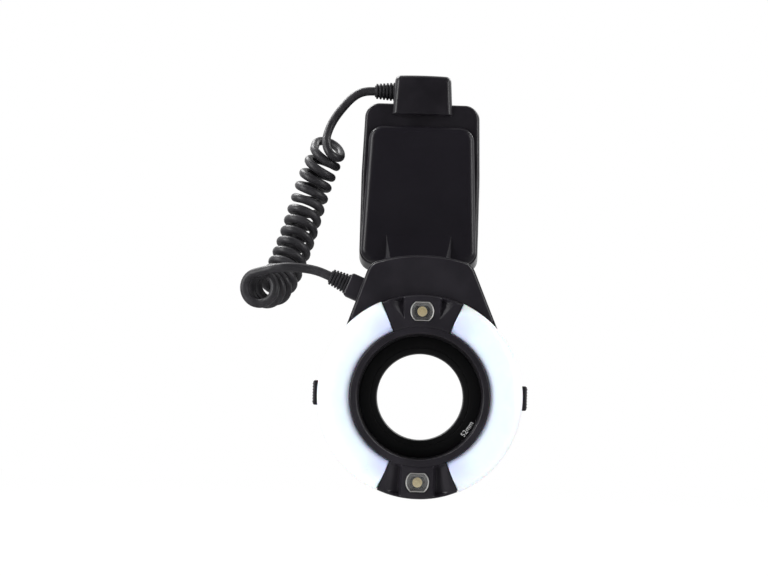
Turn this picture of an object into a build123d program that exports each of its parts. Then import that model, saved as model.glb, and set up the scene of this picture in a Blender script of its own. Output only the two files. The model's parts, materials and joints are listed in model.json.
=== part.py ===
from build123d import *
from math import atan2, cos, degrees, pi, radians, sin, sqrt, tan
import os

os.makedirs("parts", exist_ok=True)

# Macro ring flash: a control unit that slides into a camera's accessory shoe, a ring head
# that clips on an adapter ring screwed to the lens, and the curly cord between them.
# Millimetres. Origin: middle of the shoe foot's underside. +Z is up, -Y is the front.

# Fits and overruns that every piece shares
RUN_FIT = 0.06
SLIDE_GAP = 0.25
BODY_GAP = 0.35
OVERRUN = 1.0
THIN_LIP = 1.0

# Shoe foot
FOOT_W = 18.6
FOOT_L = 18.0
FOOT_T = 2.0
FOOT_CORNER_R = 1.0
NECK_W = 12.4
NECK_L = 12.4
NECK_TOP_Z = 5.6
STEM_R = 8.0
LOCK_WHEEL_R = 15.0
LOCK_WHEEL_T = 5.4
LOCK_WHEEL_FLUTES = 20
FLUTE_R = 1.1
CLAMP_PLATE_W = 20.0
CLAMP_PLATE_T = 1.2
LOCK_PIN_R = 0.9
LOCK_PIN_Y = -7.45
CONTACT_R = 0.75
CENTRE_CONTACT_R = 1.4
CONTACT_PROUD = 0.4
CONTACT_SPACING = 4.2

# Control unit: widths and heights at the front face, at the split line and at the back
UNIT_FRONT_Y = -20.0
UNIT_SPLIT_Y = 12.0
UNIT_REAR_Y = 42.0
UNIT_BOTTOM_Z = 12.0
UNIT_TOP_Z = 114.0
UNIT_WAIST_Z = 66.0
UNIT_TOP_NARROWS = 1.4
FRONT_NARROWS = 1.6
FRONT_BOTTOM_RISE = 0.6
FRONT_TOP_DROP = 7.6
REAR_NARROWS = 1.6
REAR_BOTTOM_RISE = 1.6
REAR_TOP_DROP = 4.0
UNIT_CORNER_R = 8.6
UNIT_WALL = 2.0
UNIT_EDGE_R = 2.4
PANEL_W = 60.6
PANEL_BOTTOM_Z = 17.0
PANEL_TOP_Z = 93.0
PANEL_PROUD = 5.0
PANEL_CORNER_R = 7.0
PANEL_EDGE_R = 2.3
RAMP_W = 32.4
RAMP_START_Z = 28.5
RAMP_PROUD = 5.6
RAMP_STRIP_W = 2.6
RAMP_STRIP_T = 0.6

# Connector housing on top of the unit
CONNECTOR_W = 32.6
CONNECTOR_FLARE = 1.3
CONNECTOR_BOTTOM_Z = 100.0
CONNECTOR_TOP_Z = 122.4
CONNECTOR_FRONT_Y = -22.5
CONNECTOR_LEAN = 2.0
CONNECTOR_REAR_Y = 11.0
CONNECTOR_BOW = 1.6
CONNECTOR_EDGE_R = 2.2

# Battery side: four AA cells lie across the unit, one above another
CELL_R = 7.15
CELL_L = 49.2
CELL_TIP_R = 2.6
CELL_TIP_L = 1.2
CELL_COUNT = 4
CELL_GAP = 0.15
BAY_WALL = 1.2
BAY_MIDDLE_Z = 66.6
BAY_MIDDLE_Y = -3.0
CONTACT_PLATE_T = 0.4
DOOR_T = 2.2
DOOR_L = 20.0
DOOR_AXIS_INSET = 1.9
DOOR_PIN_R = 1.0
DOOR_EAR_T = 3.0
DOOR_FLOOR_Z = 37.0
DOOR_H = 59.4
DOOR_WELL_Z = 5.0
DOOR_WELL_T = 1.3
DOOR_GRIP_COUNT = 7
DOOR_GRIP_PITCH = 2.0
DOOR_GRIP_R = 0.5

# Width: the cells' length and the room beside them for contacts, bay, walls and hinge
UNIT_SIDE_ROOM = 11.4
UNIT_W = CELL_L + 2 * UNIT_SIDE_ROOM

# Rear controls
BUTTON_R = 3.1
BUTTON_PROUD = 1.3
BUTTON_TRAVEL = 0.8
BUTTON_FLANGE = 0.9
BUTTON_FLANGE_T = 0.8
BUTTON_EDGE_R = 0.5
BUTTON_PITCH_X = 13.0
BUTTON_ROW_Z = (56.0, 44.5)
SWITCH_W = 7.0
SWITCH_H = 4.4
SWITCH_TRAVEL = 4.0
SWITCH_Z = 29.0
SWITCH_X = 17.0
TEST_R = 3.8
PILOT_R = 1.6
PILOT_X = -24.0
WINDOW_W = 50.0
WINDOW_H = 30.0
WINDOW_T = 1.4
WINDOW_Z = 86.0
WINDOW_LEDGE = 1.6
WINDOW_CORNER_R = 2.0
WINDOW_FRAME = 2.6
WINDOW_FRAME_PROUD = 1.0
BOARD_T = 1.6
BOARD_Y = 34.6
BOARD_W = 50.0
BOARD_H = 84.0
BOARD_BOTTOM_Z = 18.0
DOME_R = 2.2
DOME_T = 0.9
CAPACITOR_R = 10.5
CAPACITOR_L = 47.0
CAPACITOR_Z = 28.0
CAPACITOR_Y = 22.0
TRANSFORMER_W = 18.0
TRANSFORMER_H = 16.0
TRANSFORMER_L = 14.0
TRANSFORMER_Z = 56.0
WINDING_R = 6.4
SCREW_R = 1.25
SCREW_HEAD_R = 2.3
SCREW_HEAD_T = 1.6
SCREW_L = 9.0
BOSS_WALL = 1.3
UNIT_SCREW_X = 29.0
UNIT_SCREW_LOW_Z = 20.0
UNIT_SCREW_HIGH_Z = 100.0

# Ring head
LENS_X = 3.4
LENS_Z = -64.0
HEAD_FRONT_Y = -88.0
HEAD_SPLIT_Y = -77.0
HEAD_REAR_Y = -62.0
HEAD_R = 54.0
HEAD_WALL = 1.8
HEAD_EDGE_R = 2.4
BEZEL_IN_R = 33.3
BEZEL_WALL = 3.0
BEZEL_LIP_R = 0.9
BORE_R = 33.0
DIFFUSER_IN_R = 37.0
DIFFUSER_T = 1.5
DIFFUSER_HALF_ANGLE = 66.5
DIFFUSER_SIDE = 4.2
DIFFUSER_EDGE_R = 3.4
SEGMENT_GAP = 0.3
REFLECTOR_IN_R = 38.6
REFLECTOR_OUT_R = 51.6
REFLECTOR_T = 0.8
REFLECTOR_BACK_Y = -70.4
REFLECTOR_HALF_ANGLE = 61.0
TUBE_R = 45.0
TUBE_SECTION_R = 2.0
TUBE_Y = -75.0
TUBE_HALF_ANGLE = 52.0
TUBE_WIRE_R = 0.6
TUBE_WIRE_L = 3.2

# Hood above the ring
HOOD_FACE_Y = -80.0
HOOD_BASE_X = 39.7
HOOD_BASE_Z = 39.3
HOOD_CORNER_X = 26.3
HOOD_CORNER_Z = 69.2
HOOD_TOP_Z = 73.6
HOOD_CORNER_R = 5.0
HOOD_ARC_R = 55.6
HOOD_EDGE_R = 0.8

# Focusing lamps at the top and bottom of the ring
LAMP_R = 45.0
LAMP_W = 11.6
LAMP_H = 9.3
LAMP_RIM = 0.6
LAMP_BLOCK_W = 18.0
LAMP_BLOCK_PROUD = 1.2
LAMP_LENS_T = 2.0
LAMP_DOME = 1.1
LED_R = 2.4
LED_BOARD_W = 12.0
LED_BOARD_H = 10.0
HEAD_SCREW_X = 11.8
HEAD_SCREW_Z = 47.4
HEAD_SCREW_R = 1.0
HEAD_SCREW_HEAD_R = 1.9
HEAD_SCREW_L = 8.0
HEAD_BOARD_W = 40.0
HEAD_BOARD_H = 8.0
HEAD_BOARD_Z = 61.0

# Latch: each button pushes a plate whose claw is on the far side of the bore
LATCH_T = 1.3
LATCH_GAP = 0.3
LATCH_OUT_R = 38.2
LATCH_TRAVEL = 2.2
LATCH_CLAW = 0.9
LATCH_CLAW_W = 14.0
LATCH_ARM_W = 7.0
RELEASE_H = 13.5
RELEASE_T = 5.0
RELEASE_PROUD = 4.2
RELEASE_REACH = HEAD_R + RELEASE_PROUD
RELEASE_EDGE_R = 1.0
RELEASE_Z = 0.8
RELEASE_FLANGE_T = 1.2
RELEASE_FLANGE_H = 1.6
SPRING_R = 1.5
SPRING_WIRE_R = 0.3
SPRING_TURNS = 5
SPRING_Z = 5.2
SPRING_SEAT_T = 1.6

# Adapter ring with the male filter thread
THREAD_R = 26.0
THREAD_L = 4.5
ADAPTER_IN_R = 23.6
ADAPTER_FRONT_Y = -69.4
ADAPTER_GROOVE = 1.4
ADAPTER_GRIP_R = 31.6
ADAPTER_GRIP_T = 2.4

# Plug on the hood's left side and the two strain reliefs
PLUG_ANGLE = 22.6
PLUG_BASE_X = -31.4
PLUG_BASE_Z = 55.8
PLUG_L = 10.0
PLUG_W = 13.0
PLUG_T = 11.0
PLUG_Y = -71.0
PLUG_EDGE_R = 1.8
PLUG_SUNK = 2.4
RELIEF_L = 10.4
RELIEF_SMALL_R = 4.4
RELIEF_LARGE_R = 5.4
RELIEF_RIBS = 6
TOP_RELIEF_DROP = 5.6
TOP_RELIEF_Z = CONNECTOR_TOP_Z - TOP_RELIEF_DROP
TOP_RELIEF_Y = -6.0

# Cord: free stretches and the curly part between them
CORD_R = 2.4
CORD_SIDES = 8
ARC_SHARE = 0.45
COIL_R = 8.1
COIL_TURNS = 17
COIL_OPENING_TURNS = 1
COIL_OPENING_PITCH = 22.0
COIL_AXIS_STEPS = 800
UPPER_ROUTE = [
    (-28.6, -6.0, 116.8),
    (-36.0, -6.0, 116.8),
    (-42.9, -6.2, 113.7),
    (-48.7, -6.5, 108.2),
    (-52.9, -6.8, 101.6),
    (-55.3, -7.2, 94.2),
    (-56.2, -7.6, 86.3),
]
COIL_ROUTE = [
    (-56.74, -7.84, 81.56),
    (-58.09, -8.44, 69.71),
    (-61.6, -11.0, 57.0),
    (-65.5, -15.5, 41.0),
    (-70.3, -22.5, 22.5),
    (-76.3, -33.0, 7.3),
    (-83.3, -47.0, -1.5),
    (-87.8, -63.0, -5.8),
]
LOWER_RUN = 8.0
LOWER_MIDDLE = [
    (-64.5, -71.5, 4.6),
]


def block(x_range, y_range, z_range):
    """A box given by its (low, high) pairs."""
    pairs = (x_range, y_range, z_range)
    sides = [high - low for low, high in pairs]
    middle = [(high + low) / 2 for low, high in pairs]
    return Pos(*middle) * Box(*sides)


def around(middle, width):
    """The (low, high) pair of a width about its middle."""
    return (middle - width / 2, middle + width / 2)


def round_bar(radius, start, end):
    """A cylinder from one point to another."""
    low = Vector(*start)
    high = Vector(*end)
    plane = Plane(origin=low, z_dir=high - low)
    return extrude(plane * Circle(radius), amount=(high - low).length)


def tube_bar(outer, inner, start, end):
    """A round tube from one point to another."""
    return round_bar(outer, start, end) - round_bar(inner, start, end)


def facing_front(y, x=0.0, z=0.0):
    """A drawing plane seen from the front: x to the right, y up, growing to -Y."""
    return Plane(origin=(x, y, z), x_dir=(1, 0, 0), z_dir=(0, -1, 0))


def facing_back(y, x=0.0, z=0.0):
    """A drawing plane seen from behind, growing to +Y."""
    return Plane(origin=(x, y, z), x_dir=(-1, 0, 0), z_dir=(0, 1, 0))


def head_plane(y):
    """The front drawing plane with its origin on the lens axis."""
    return facing_front(y, LENS_X, LENS_Z)


def head_ring(outer, inner, y_back, y_front):
    """A ring about the lens axis."""
    return extrude(head_plane(y_back) * (Circle(outer) - Circle(inner)), amount=y_back - y_front)


def head_disc(radius, y_back, y_front):
    """A disc about the lens axis."""
    return extrude(head_plane(y_back) * Circle(radius), amount=y_back - y_front)


def head_point(x, y, z):
    """A point given from the lens axis, in the part's own frame."""
    return (LENS_X + x, y, LENS_Z + z)


# Control unit shells


def unit_section(narrows, bottom_rise, top_drop, inset):
    """Outline of the control unit at one depth, drawn in by an inset."""
    low = UNIT_BOTTOM_Z + bottom_rise + inset
    high = UNIT_TOP_Z - top_drop - inset
    half = UNIT_W / 2 - narrows - inset
    half_top = half - UNIT_TOP_NARROWS
    right = [(half, low), (half, UNIT_WAIST_Z), (half_top, high)]
    left = [(-x, z) for x, z in reversed(right)]
    outline = make_face(Polyline(*right, *left, close=True))
    corners = [v for v in outline.vertices() if abs(v.Y - UNIT_WAIST_Z) > UNIT_CORNER_R]
    return fillet(corners, UNIT_CORNER_R - inset)


def front_half(inset):
    """Solid outline of the front half, from the split line to the front face."""
    near = facing_front(UNIT_FRONT_Y + inset) * unit_section(
        FRONT_NARROWS, FRONT_BOTTOM_RISE, FRONT_TOP_DROP, inset
    )
    split = facing_front(UNIT_SPLIT_Y) * unit_section(0, 0, 0, inset)
    return loft([split.face(), near.face()], ruled=True)


def rear_half(inset):
    """Solid outline of the rear half, from the split line to the back face."""
    far = facing_back(UNIT_REAR_Y - inset) * unit_section(
        REAR_NARROWS, REAR_BOTTOM_RISE, REAR_TOP_DROP, inset
    )
    split = facing_back(UNIT_SPLIT_Y) * unit_section(0, 0, 0, inset)
    return loft([split.face(), far.face()], ruled=True)


def unit_screw_places():
    """Where the four case screws stand, seen from the front."""
    return [
        (x, z)
        for x in (-UNIT_SCREW_X, UNIT_SCREW_X)
        for z in (UNIT_SCREW_LOW_Z, UNIT_SCREW_HIGH_Z)
    ]


def door_front_y():
    return BAY_MIDDLE_Y - DOOR_L / 2


def door_rear_y():
    return BAY_MIDDLE_Y + DOOR_L / 2


def door_axis_x():
    """The hinge stands inside the side wall at the door's narrower end."""
    share = (UNIT_SPLIT_Y - door_front_y()) / (UNIT_SPLIT_Y - UNIT_FRONT_Y)
    return UNIT_W / 2 - FRONT_NARROWS * share - DOOR_AXIS_INSET - CELL_GAP


def door_gap_block(gap):
    """The room that the door and its barrel take in the side wall."""
    barrel = DOOR_AXIS_INSET + gap
    return block(
        (door_axis_x() - barrel, UNIT_W / 2 + OVERRUN),
        (door_front_y() - gap, door_rear_y() + gap),
        (DOOR_FLOOR_Z - DOOR_WELL_Z, DOOR_FLOOR_Z + DOOR_H + gap),
    )


def door_well():
    """The step below the door that its lower edge swings down into: a shelf and a riser."""
    depth = DOOR_WELL_Z + DOOR_WELL_T
    shelf = block(
        (door_axis_x() - DOOR_AXIS_INSET - DOOR_WELL_T, UNIT_W / 2),
        (door_front_y() - BODY_GAP, door_rear_y() + BODY_GAP),
        (DOOR_FLOOR_Z - depth, DOOR_FLOOR_Z - DOOR_WELL_Z),
    )
    riser = block(
        (door_axis_x() - DOOR_AXIS_INSET - DOOR_WELL_T, door_axis_x() - DOOR_AXIS_INSET - BODY_GAP),
        (door_front_y() - BODY_GAP, door_rear_y() + BODY_GAP),
        (DOOR_FLOOR_Z - depth, DOOR_FLOOR_Z - DOOR_AXIS_INSET),
    )
    return shelf + riser


def door_ears():
    """Two ears behind the side wall that carry the door's pin."""
    ears = []
    for edge, step in ((door_front_y() - BODY_GAP, -DOOR_EAR_T), (door_rear_y() + BODY_GAP, DOOR_EAR_T)):
        ear = block(
            (door_axis_x() - DOOR_AXIS_INSET, UNIT_W / 2),
            (min(edge, edge + step), max(edge, edge + step)),
            around(DOOR_FLOOR_Z, 2 * DOOR_AXIS_INSET),
        )
        ears.append(ear)
    return ears


def door_pin_bar(radius, spare):
    """A bar along the door's hinge line, into both ears."""
    reach = DOOR_EAR_T + BODY_GAP - spare
    return round_bar(
        radius,
        (door_axis_x(), door_front_y() - reach, DOOR_FLOOR_Z),
        (door_axis_x(), door_rear_y() + reach, DOOR_FLOOR_Z),
    )


def unit_front_shell():
    outer = front_half(0)
    front_edges = outer.faces().sort_by(Axis.Y)[0].edges()
    shell = fillet(front_edges, UNIT_EDGE_R) - front_half(UNIT_WALL)
    shell -= door_gap_block(BODY_GAP)
    skin = front_half(0)
    shell += door_well() & skin
    for ear in door_ears():
        shell += ear & skin
    shell -= door_pin_bar(DOOR_PIN_R + RUN_FIT, 0)
    for x, z in unit_screw_places():
        boss = round_bar(SCREW_R + BOSS_WALL, (x, UNIT_SPLIT_Y, z), (x, UNIT_FRONT_Y + UNIT_WALL / 2, z))
        pilot = round_bar(SCREW_R, (x, UNIT_SPLIT_Y + OVERRUN, z), (x, UNIT_SPLIT_Y - SCREW_L, z))
        shell += boss & skin
        shell -= pilot
    shell -= cord_entry(OVERRUN)
    return shell


def front_panel():
    """The raised satin panel with the ramp that overhangs the lens."""
    middle_z = (PANEL_BOTTOM_Z + PANEL_TOP_Z) / 2
    plate = extrude(
        facing_front(UNIT_FRONT_Y, 0, middle_z)
        * RectangleRounded(PANEL_W, PANEL_TOP_Z - PANEL_BOTTOM_Z, PANEL_CORNER_R),
        amount=PANEL_PROUD,
    )
    plate = fillet(plate.faces().sort_by(Axis.Y)[0].edges(), PANEL_EDGE_R)
    return plate + ramp_wedge(RAMP_W / 2, 0)


def ramp_wedge(half_width, proud):
    """The ramp's wedge between the panel's face and its lip, seen from the side."""
    face_y = UNIT_FRONT_Y - PANEL_PROUD
    bottom_z = PANEL_BOTTOM_Z + PANEL_EDGE_R
    profile = Plane.YZ.offset(-half_width) * make_face(
        Polyline(
            (face_y + PANEL_EDGE_R, RAMP_START_Z),
            (face_y - proud, RAMP_START_Z),
            (face_y - RAMP_PROUD - proud, bottom_z + PANEL_EDGE_R),
            (face_y - RAMP_PROUD - proud, bottom_z),
            (face_y + PANEL_EDGE_R, bottom_z),
            close=True,
        )
    )
    return extrude(profile, amount=2 * half_width)


def ramp_strips():
    """Two light strips beside the ramp that widen toward the bottom."""
    face_y = UNIT_FRONT_Y - PANEL_PROUD
    bottom_z = PANEL_BOTTOM_Z + 2 * PANEL_EDGE_R
    strips = []
    for side in (-1, 1):
        inner = side * (RAMP_W / 2)
        outer = side * (RAMP_W / 2 + RAMP_STRIP_W)
        outline = make_face(
            Polyline((inner, RAMP_START_Z), (outer, bottom_z), (inner, bottom_z), close=True)
        )
        strips.append(extrude(facing_front(face_y) * outline, amount=RAMP_STRIP_T))
    return strips


def unit_rear_shell():
    outer = rear_half(0)
    back_edges = outer.faces().sort_by(Axis.Y)[-1].edges()
    shell = fillet(back_edges, UNIT_EDGE_R)
    frame = RectangleRounded(
        WINDOW_W + 2 * WINDOW_FRAME, WINDOW_H + 2 * WINDOW_FRAME, WINDOW_CORNER_R + WINDOW_FRAME
    )
    shell += extrude(facing_back(UNIT_REAR_Y, 0, WINDOW_Z) * frame, amount=WINDOW_FRAME_PROUD)
    shell -= rear_half(UNIT_WALL)
    inner_y = UNIT_REAR_Y - UNIT_WALL
    for x, z in unit_screw_places():
        boss = round_bar(SCREW_HEAD_R + BOSS_WALL, (x, UNIT_SPLIT_Y, z), (x, inner_y + UNIT_WALL / 2, z))
        shell += boss & rear_half(0)
    for x, z in unit_screw_places():
        head_y = UNIT_SPLIT_Y + BOSS_WALL
        shell -= round_bar(SCREW_R + RUN_FIT, (x, UNIT_SPLIT_Y - OVERRUN, z), (x, head_y + OVERRUN, z))
        shell -= round_bar(SCREW_HEAD_R + RUN_FIT, (x, head_y, z), (x, UNIT_REAR_Y + OVERRUN, z))
    for x, z in board_post_places():
        shell += round_bar(BOSS_WALL + SCREW_R / 2, (x, BOARD_Y, z), (x, inner_y, z))
    shell -= window_pocket()
    for x, z in button_places():
        shell -= round_bar(
            BUTTON_R + SLIDE_GAP, (x, inner_y - OVERRUN, z), (x, UNIT_REAR_Y + OVERRUN, z)
        )
    shell -= round_bar(
        TEST_R + SLIDE_GAP,
        (-BUTTON_PITCH_X, inner_y - OVERRUN, SWITCH_Z),
        (-BUTTON_PITCH_X, UNIT_REAR_Y + OVERRUN, SWITCH_Z),
    )
    shell -= round_bar(
        PILOT_R, (PILOT_X, inner_y - OVERRUN, SWITCH_Z), (PILOT_X, UNIT_REAR_Y + OVERRUN, SWITCH_Z)
    )
    slot = block(
        (SWITCH_X - SWITCH_W / 2 - SLIDE_GAP, SWITCH_X + SWITCH_W / 2 + SWITCH_TRAVEL + SLIDE_GAP),
        (inner_y - OVERRUN, UNIT_REAR_Y + OVERRUN),
        around(SWITCH_Z, SWITCH_H + 2 * SLIDE_GAP),
    )
    return shell - slot


def window_pocket():
    """The display's opening with the ledge that the window lies on."""
    face_y = UNIT_REAR_Y + WINDOW_FRAME_PROUD
    seat = extrude(
        facing_back(face_y - WINDOW_T, 0, WINDOW_Z)
        * RectangleRounded(WINDOW_W, WINDOW_H, WINDOW_CORNER_R),
        amount=WINDOW_T + OVERRUN,
    )
    through = extrude(
        facing_back(UNIT_REAR_Y - UNIT_WALL - OVERRUN, 0, WINDOW_Z)
        * Rectangle(WINDOW_W - 2 * WINDOW_LEDGE, WINDOW_H - 2 * WINDOW_LEDGE),
        amount=UNIT_WALL + WINDOW_FRAME_PROUD + 2 * OVERRUN,
    )
    return seat + through


def display_window():
    face_y = UNIT_REAR_Y + WINDOW_FRAME_PROUD
    outline = RectangleRounded(WINDOW_W - RUN_FIT, WINDOW_H - RUN_FIT, WINDOW_CORNER_R)
    return extrude(facing_back(face_y - WINDOW_T, 0, WINDOW_Z) * outline, amount=WINDOW_T - RUN_FIT)


def display_module():
    """The display glass stands on the board, behind the window's opening."""
    front = BOARD_Y
    back = UNIT_REAR_Y - UNIT_WALL
    width = WINDOW_W - 4 * WINDOW_LEDGE
    height = WINDOW_H - 2 * WINDOW_LEDGE
    body = block(around(0, width), (front, back), around(WINDOW_Z, height))
    glass_w = WINDOW_W - 2 * WINDOW_LEDGE - 2 * SLIDE_GAP
    glass = block(
        around(0, glass_w), (back, back + UNIT_WALL / 2), around(WINDOW_Z, height - 2 * SLIDE_GAP)
    )
    return body + glass


# Parts inside the control unit


def board_post_places():
    """Posts of the rear shell that the board is fixed to."""
    x = BOARD_W / 2 - BOSS_WALL - SCREW_R
    low = BOARD_BOTTOM_Z + BOSS_WALL + SCREW_R
    return [(side * x, z) for side in (-1, 1) for z in (low, WINDOW_Z - WINDOW_H / 2 - 2 * SCREW_R)]


def button_places():
    """The six round keys in two rows of three."""
    return [(column * BUTTON_PITCH_X, z) for z in BUTTON_ROW_Z for column in (-1, 0, 1)]


def main_board():
    board = block(
        around(0, BOARD_W),
        (BOARD_Y - BOARD_T, BOARD_Y),
        (BOARD_BOTTOM_Z, BOARD_BOTTOM_Z + BOARD_H),
    )
    for x, z in button_places():
        board += round_bar(DOME_R, (x, BOARD_Y, z), (x, BOARD_Y + DOME_T, z))
    board += round_bar(
        DOME_R, (-BUTTON_PITCH_X, BOARD_Y, SWITCH_Z), (-BUTTON_PITCH_X, BOARD_Y + DOME_T, SWITCH_Z)
    )
    switch_base = block(
        around(SWITCH_X + SWITCH_TRAVEL / 2, 2 * SWITCH_W),
        (BOARD_Y, UNIT_REAR_Y - UNIT_WALL - BUTTON_FLANGE_T - 2 * BODY_GAP - THIN_LIP),
        around(SWITCH_Z, SWITCH_H),
    )
    return board + switch_base


def flash_capacitor():
    """The can lies across the unit below the board."""
    half = CAPACITOR_L / 2
    can = round_bar(CAPACITOR_R, (-half, CAPACITOR_Y, CAPACITOR_Z), (half, CAPACITOR_Y, CAPACITOR_Z))
    return fillet(can.edges().filter_by(GeomType.CIRCLE), THIN_LIP)


def transformer():
    """A bobbin between two core plates, fixed to the board's front side."""
    back = BOARD_Y - BOARD_T
    front = back - TRANSFORMER_L
    plate = TRANSFORMER_L / 5
    low = block(around(0, TRANSFORMER_W), (back - plate, back), around(TRANSFORMER_Z, TRANSFORMER_H))
    high = block(around(0, TRANSFORMER_W), (front, front + plate), around(TRANSFORMER_Z, TRANSFORMER_H))
    winding = round_bar(WINDING_R, (0, front, TRANSFORMER_Z), (0, back, TRANSFORMER_Z))
    return low + high + winding


def bay_height():
    return CELL_COUNT * 2 * CELL_R + (CELL_COUNT + 1) * CELL_GAP


def cell_places():
    """Heights of the cells' middles, from the bottom one up."""
    first = BAY_MIDDLE_Z - bay_height() / 2 + CELL_GAP + CELL_R
    return [first + i * (2 * CELL_R + CELL_GAP) for i in range(CELL_COUNT)]


def bay_mouth_x():
    return door_axis_x() - DOOR_AXIS_INSET - BODY_GAP


def bay_floor_x():
    """Inner face of the bay's closed end."""
    return bay_mouth_x() - CELL_L - CELL_TIP_L - 2 * CONTACT_PLATE_T - 2 * BODY_GAP


def battery_bay():
    """An open-ended box that the four cells slide into."""
    cavity_y = around(BAY_MIDDLE_Y, 2 * CELL_R + 2 * CELL_GAP)
    cavity_z = around(BAY_MIDDLE_Z, bay_height())
    wall_y = (cavity_y[0] - BAY_WALL, cavity_y[1] + BAY_WALL)
    wall_z = (cavity_z[0] - BAY_WALL, cavity_z[1] + BAY_WALL)
    box = block((bay_floor_x() - BAY_WALL, bay_mouth_x()), wall_y, wall_z)
    box -= block((bay_floor_x(), bay_mouth_x() + OVERRUN), cavity_y, cavity_z)
    rib = block(
        around(0, BAY_WALL), (UNIT_FRONT_Y + UNIT_WALL, wall_y[0]), around(BAY_MIDDLE_Z, bay_height() / 2)
    )
    return box + rib


def battery_cells():
    """Four cells, every other one turned round."""
    cells = []
    low_x = bay_floor_x() + CONTACT_PLATE_T + BODY_GAP
    high_x = low_x + CELL_L + CELL_TIP_L
    for i, z in enumerate(cell_places()):
        can_start = low_x if i % 2 else low_x + CELL_TIP_L
        tip_at = can_start + CELL_L if i % 2 else can_start
        tip_end = high_x if i % 2 else low_x
        can = round_bar(CELL_R, (can_start, BAY_MIDDLE_Y, z), (can_start + CELL_L, BAY_MIDDLE_Y, z))
        tip = round_bar(CELL_TIP_R, (tip_at, BAY_MIDDLE_Y, z), (tip_end, BAY_MIDDLE_Y, z))
        cells.append(can + tip)
    return cells


def plates_over_cells(x_range):
    """Two plates, each across the ends of two cells."""
    places = cell_places()
    return [
        block(x_range, around(BAY_MIDDLE_Y, CELL_R), (low - CELL_R / 2, high + CELL_R / 2))
        for low, high in zip(places[0::2], places[1::2])
    ]


def bay_contacts():
    return plates_over_cells((bay_floor_x(), bay_floor_x() + CONTACT_PLATE_T))


def door_contacts():
    inner = bay_mouth_x() + BODY_GAP
    return plates_over_cells((inner, inner + CONTACT_PLATE_T))


def battery_door():
    """The door is the side wall's own skin, with a barrel along its lower edge."""
    room = block(
        (door_axis_x() - DOOR_AXIS_INSET / 2, UNIT_W / 2 + OVERRUN),
        (door_front_y(), door_rear_y()),
        (DOOR_FLOOR_Z, DOOR_FLOOR_Z + DOOR_H),
    )
    door = (front_half(0) - front_half(DOOR_T)) & room
    door += round_bar(
        DOOR_AXIS_INSET,
        (door_axis_x(), door_front_y(), DOOR_FLOOR_Z),
        (door_axis_x(), door_rear_y(), DOOR_FLOOR_Z),
    )
    door -= door_pin_bar(DOOR_PIN_R + RUN_FIT, 0)
    for pad in plates_over_cells((bay_mouth_x() + BODY_GAP + CONTACT_PLATE_T, UNIT_W / 2)):
        door += pad & front_half(DOOR_T / 2)
    for i in range(DOOR_GRIP_COUNT):
        z = DOOR_FLOOR_Z + DOOR_H - (i + 2) * DOOR_GRIP_PITCH
        x = grip_x(z)
        door -= round_bar(
            DOOR_GRIP_R,
            (x[0], door_front_y() - OVERRUN, z),
            (x[1], door_rear_y() + OVERRUN, z),
        )
    return door


def grip_x(z):
    """The side wall's surface at a height, at the door's two ends."""
    depth = UNIT_SPLIT_Y - UNIT_FRONT_Y
    surface = []
    for y in (door_front_y() - OVERRUN, door_rear_y() + OVERRUN):
        share = (UNIT_SPLIT_Y - y) / depth
        top = UNIT_TOP_Z - FRONT_TOP_DROP * share
        lean = UNIT_TOP_NARROWS * max(0, (z - UNIT_WAIST_Z) / (top - UNIT_WAIST_Z))
        surface.append(UNIT_W / 2 - FRONT_NARROWS * share - lean)
    return surface


def unit_screws():
    """Four case screws, sunk in the rear shell's bosses."""
    screws = []
    for x, z in unit_screw_places():
        head_y = UNIT_SPLIT_Y + BOSS_WALL
        head = round_bar(SCREW_HEAD_R, (x, head_y, z), (x, head_y + SCREW_HEAD_T, z))
        shank = round_bar(SCREW_R, (x, head_y, z), (x, UNIT_SPLIT_Y - SCREW_L, z))
        screws.append(head + shank)
    return screws


# Rear controls


def push_button(x, z, radius):
    """A round key with a flange behind the wall and a stem toward its dome."""
    inner_y = UNIT_REAR_Y - UNIT_WALL
    stem_end = BOARD_Y + DOME_T + BODY_GAP + BUTTON_TRAVEL
    flange_y = inner_y - THIN_LIP / 6
    top_y = UNIT_REAR_Y + BUTTON_PROUD
    cap = round_bar(radius, (x, flange_y, z), (x, top_y, z))
    cap = fillet(cap.faces().sort_by(Axis.Y)[-1].edges(), BUTTON_EDGE_R)
    flange = round_bar(radius + BUTTON_FLANGE, (x, flange_y - BUTTON_FLANGE_T, z), (x, flange_y, z))
    stem = round_bar(radius / 2, (x, stem_end, z), (x, flange_y, z))
    return cap + flange + stem


def power_switch():
    """A ribbed knob on a plate that slides behind the wall."""
    inner_y = UNIT_REAR_Y - UNIT_WALL
    plate_y = inner_y - BODY_GAP
    knob = block(
        around(SWITCH_X, SWITCH_W), (plate_y, UNIT_REAR_Y + BUTTON_PROUD), around(SWITCH_Z, SWITCH_H)
    )
    knob = fillet(knob.faces().sort_by(Axis.Y)[-1].edges(), BUTTON_EDGE_R)
    for step in (-1, 0, 1):
        x = SWITCH_X + step * SWITCH_W / 4
        top_y = UNIT_REAR_Y + BUTTON_PROUD
        knob -= round_bar(
            BUTTON_EDGE_R, (x, top_y, SWITCH_Z - SWITCH_H), (x, top_y, SWITCH_Z + SWITCH_H)
        )
    plate = block(
        around(SWITCH_X, SWITCH_W + SWITCH_TRAVEL + 2 * THIN_LIP),
        (plate_y - BUTTON_FLANGE_T, plate_y),
        around(SWITCH_Z, SWITCH_H + 2 * THIN_LIP),
    )
    return knob + plate


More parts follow.
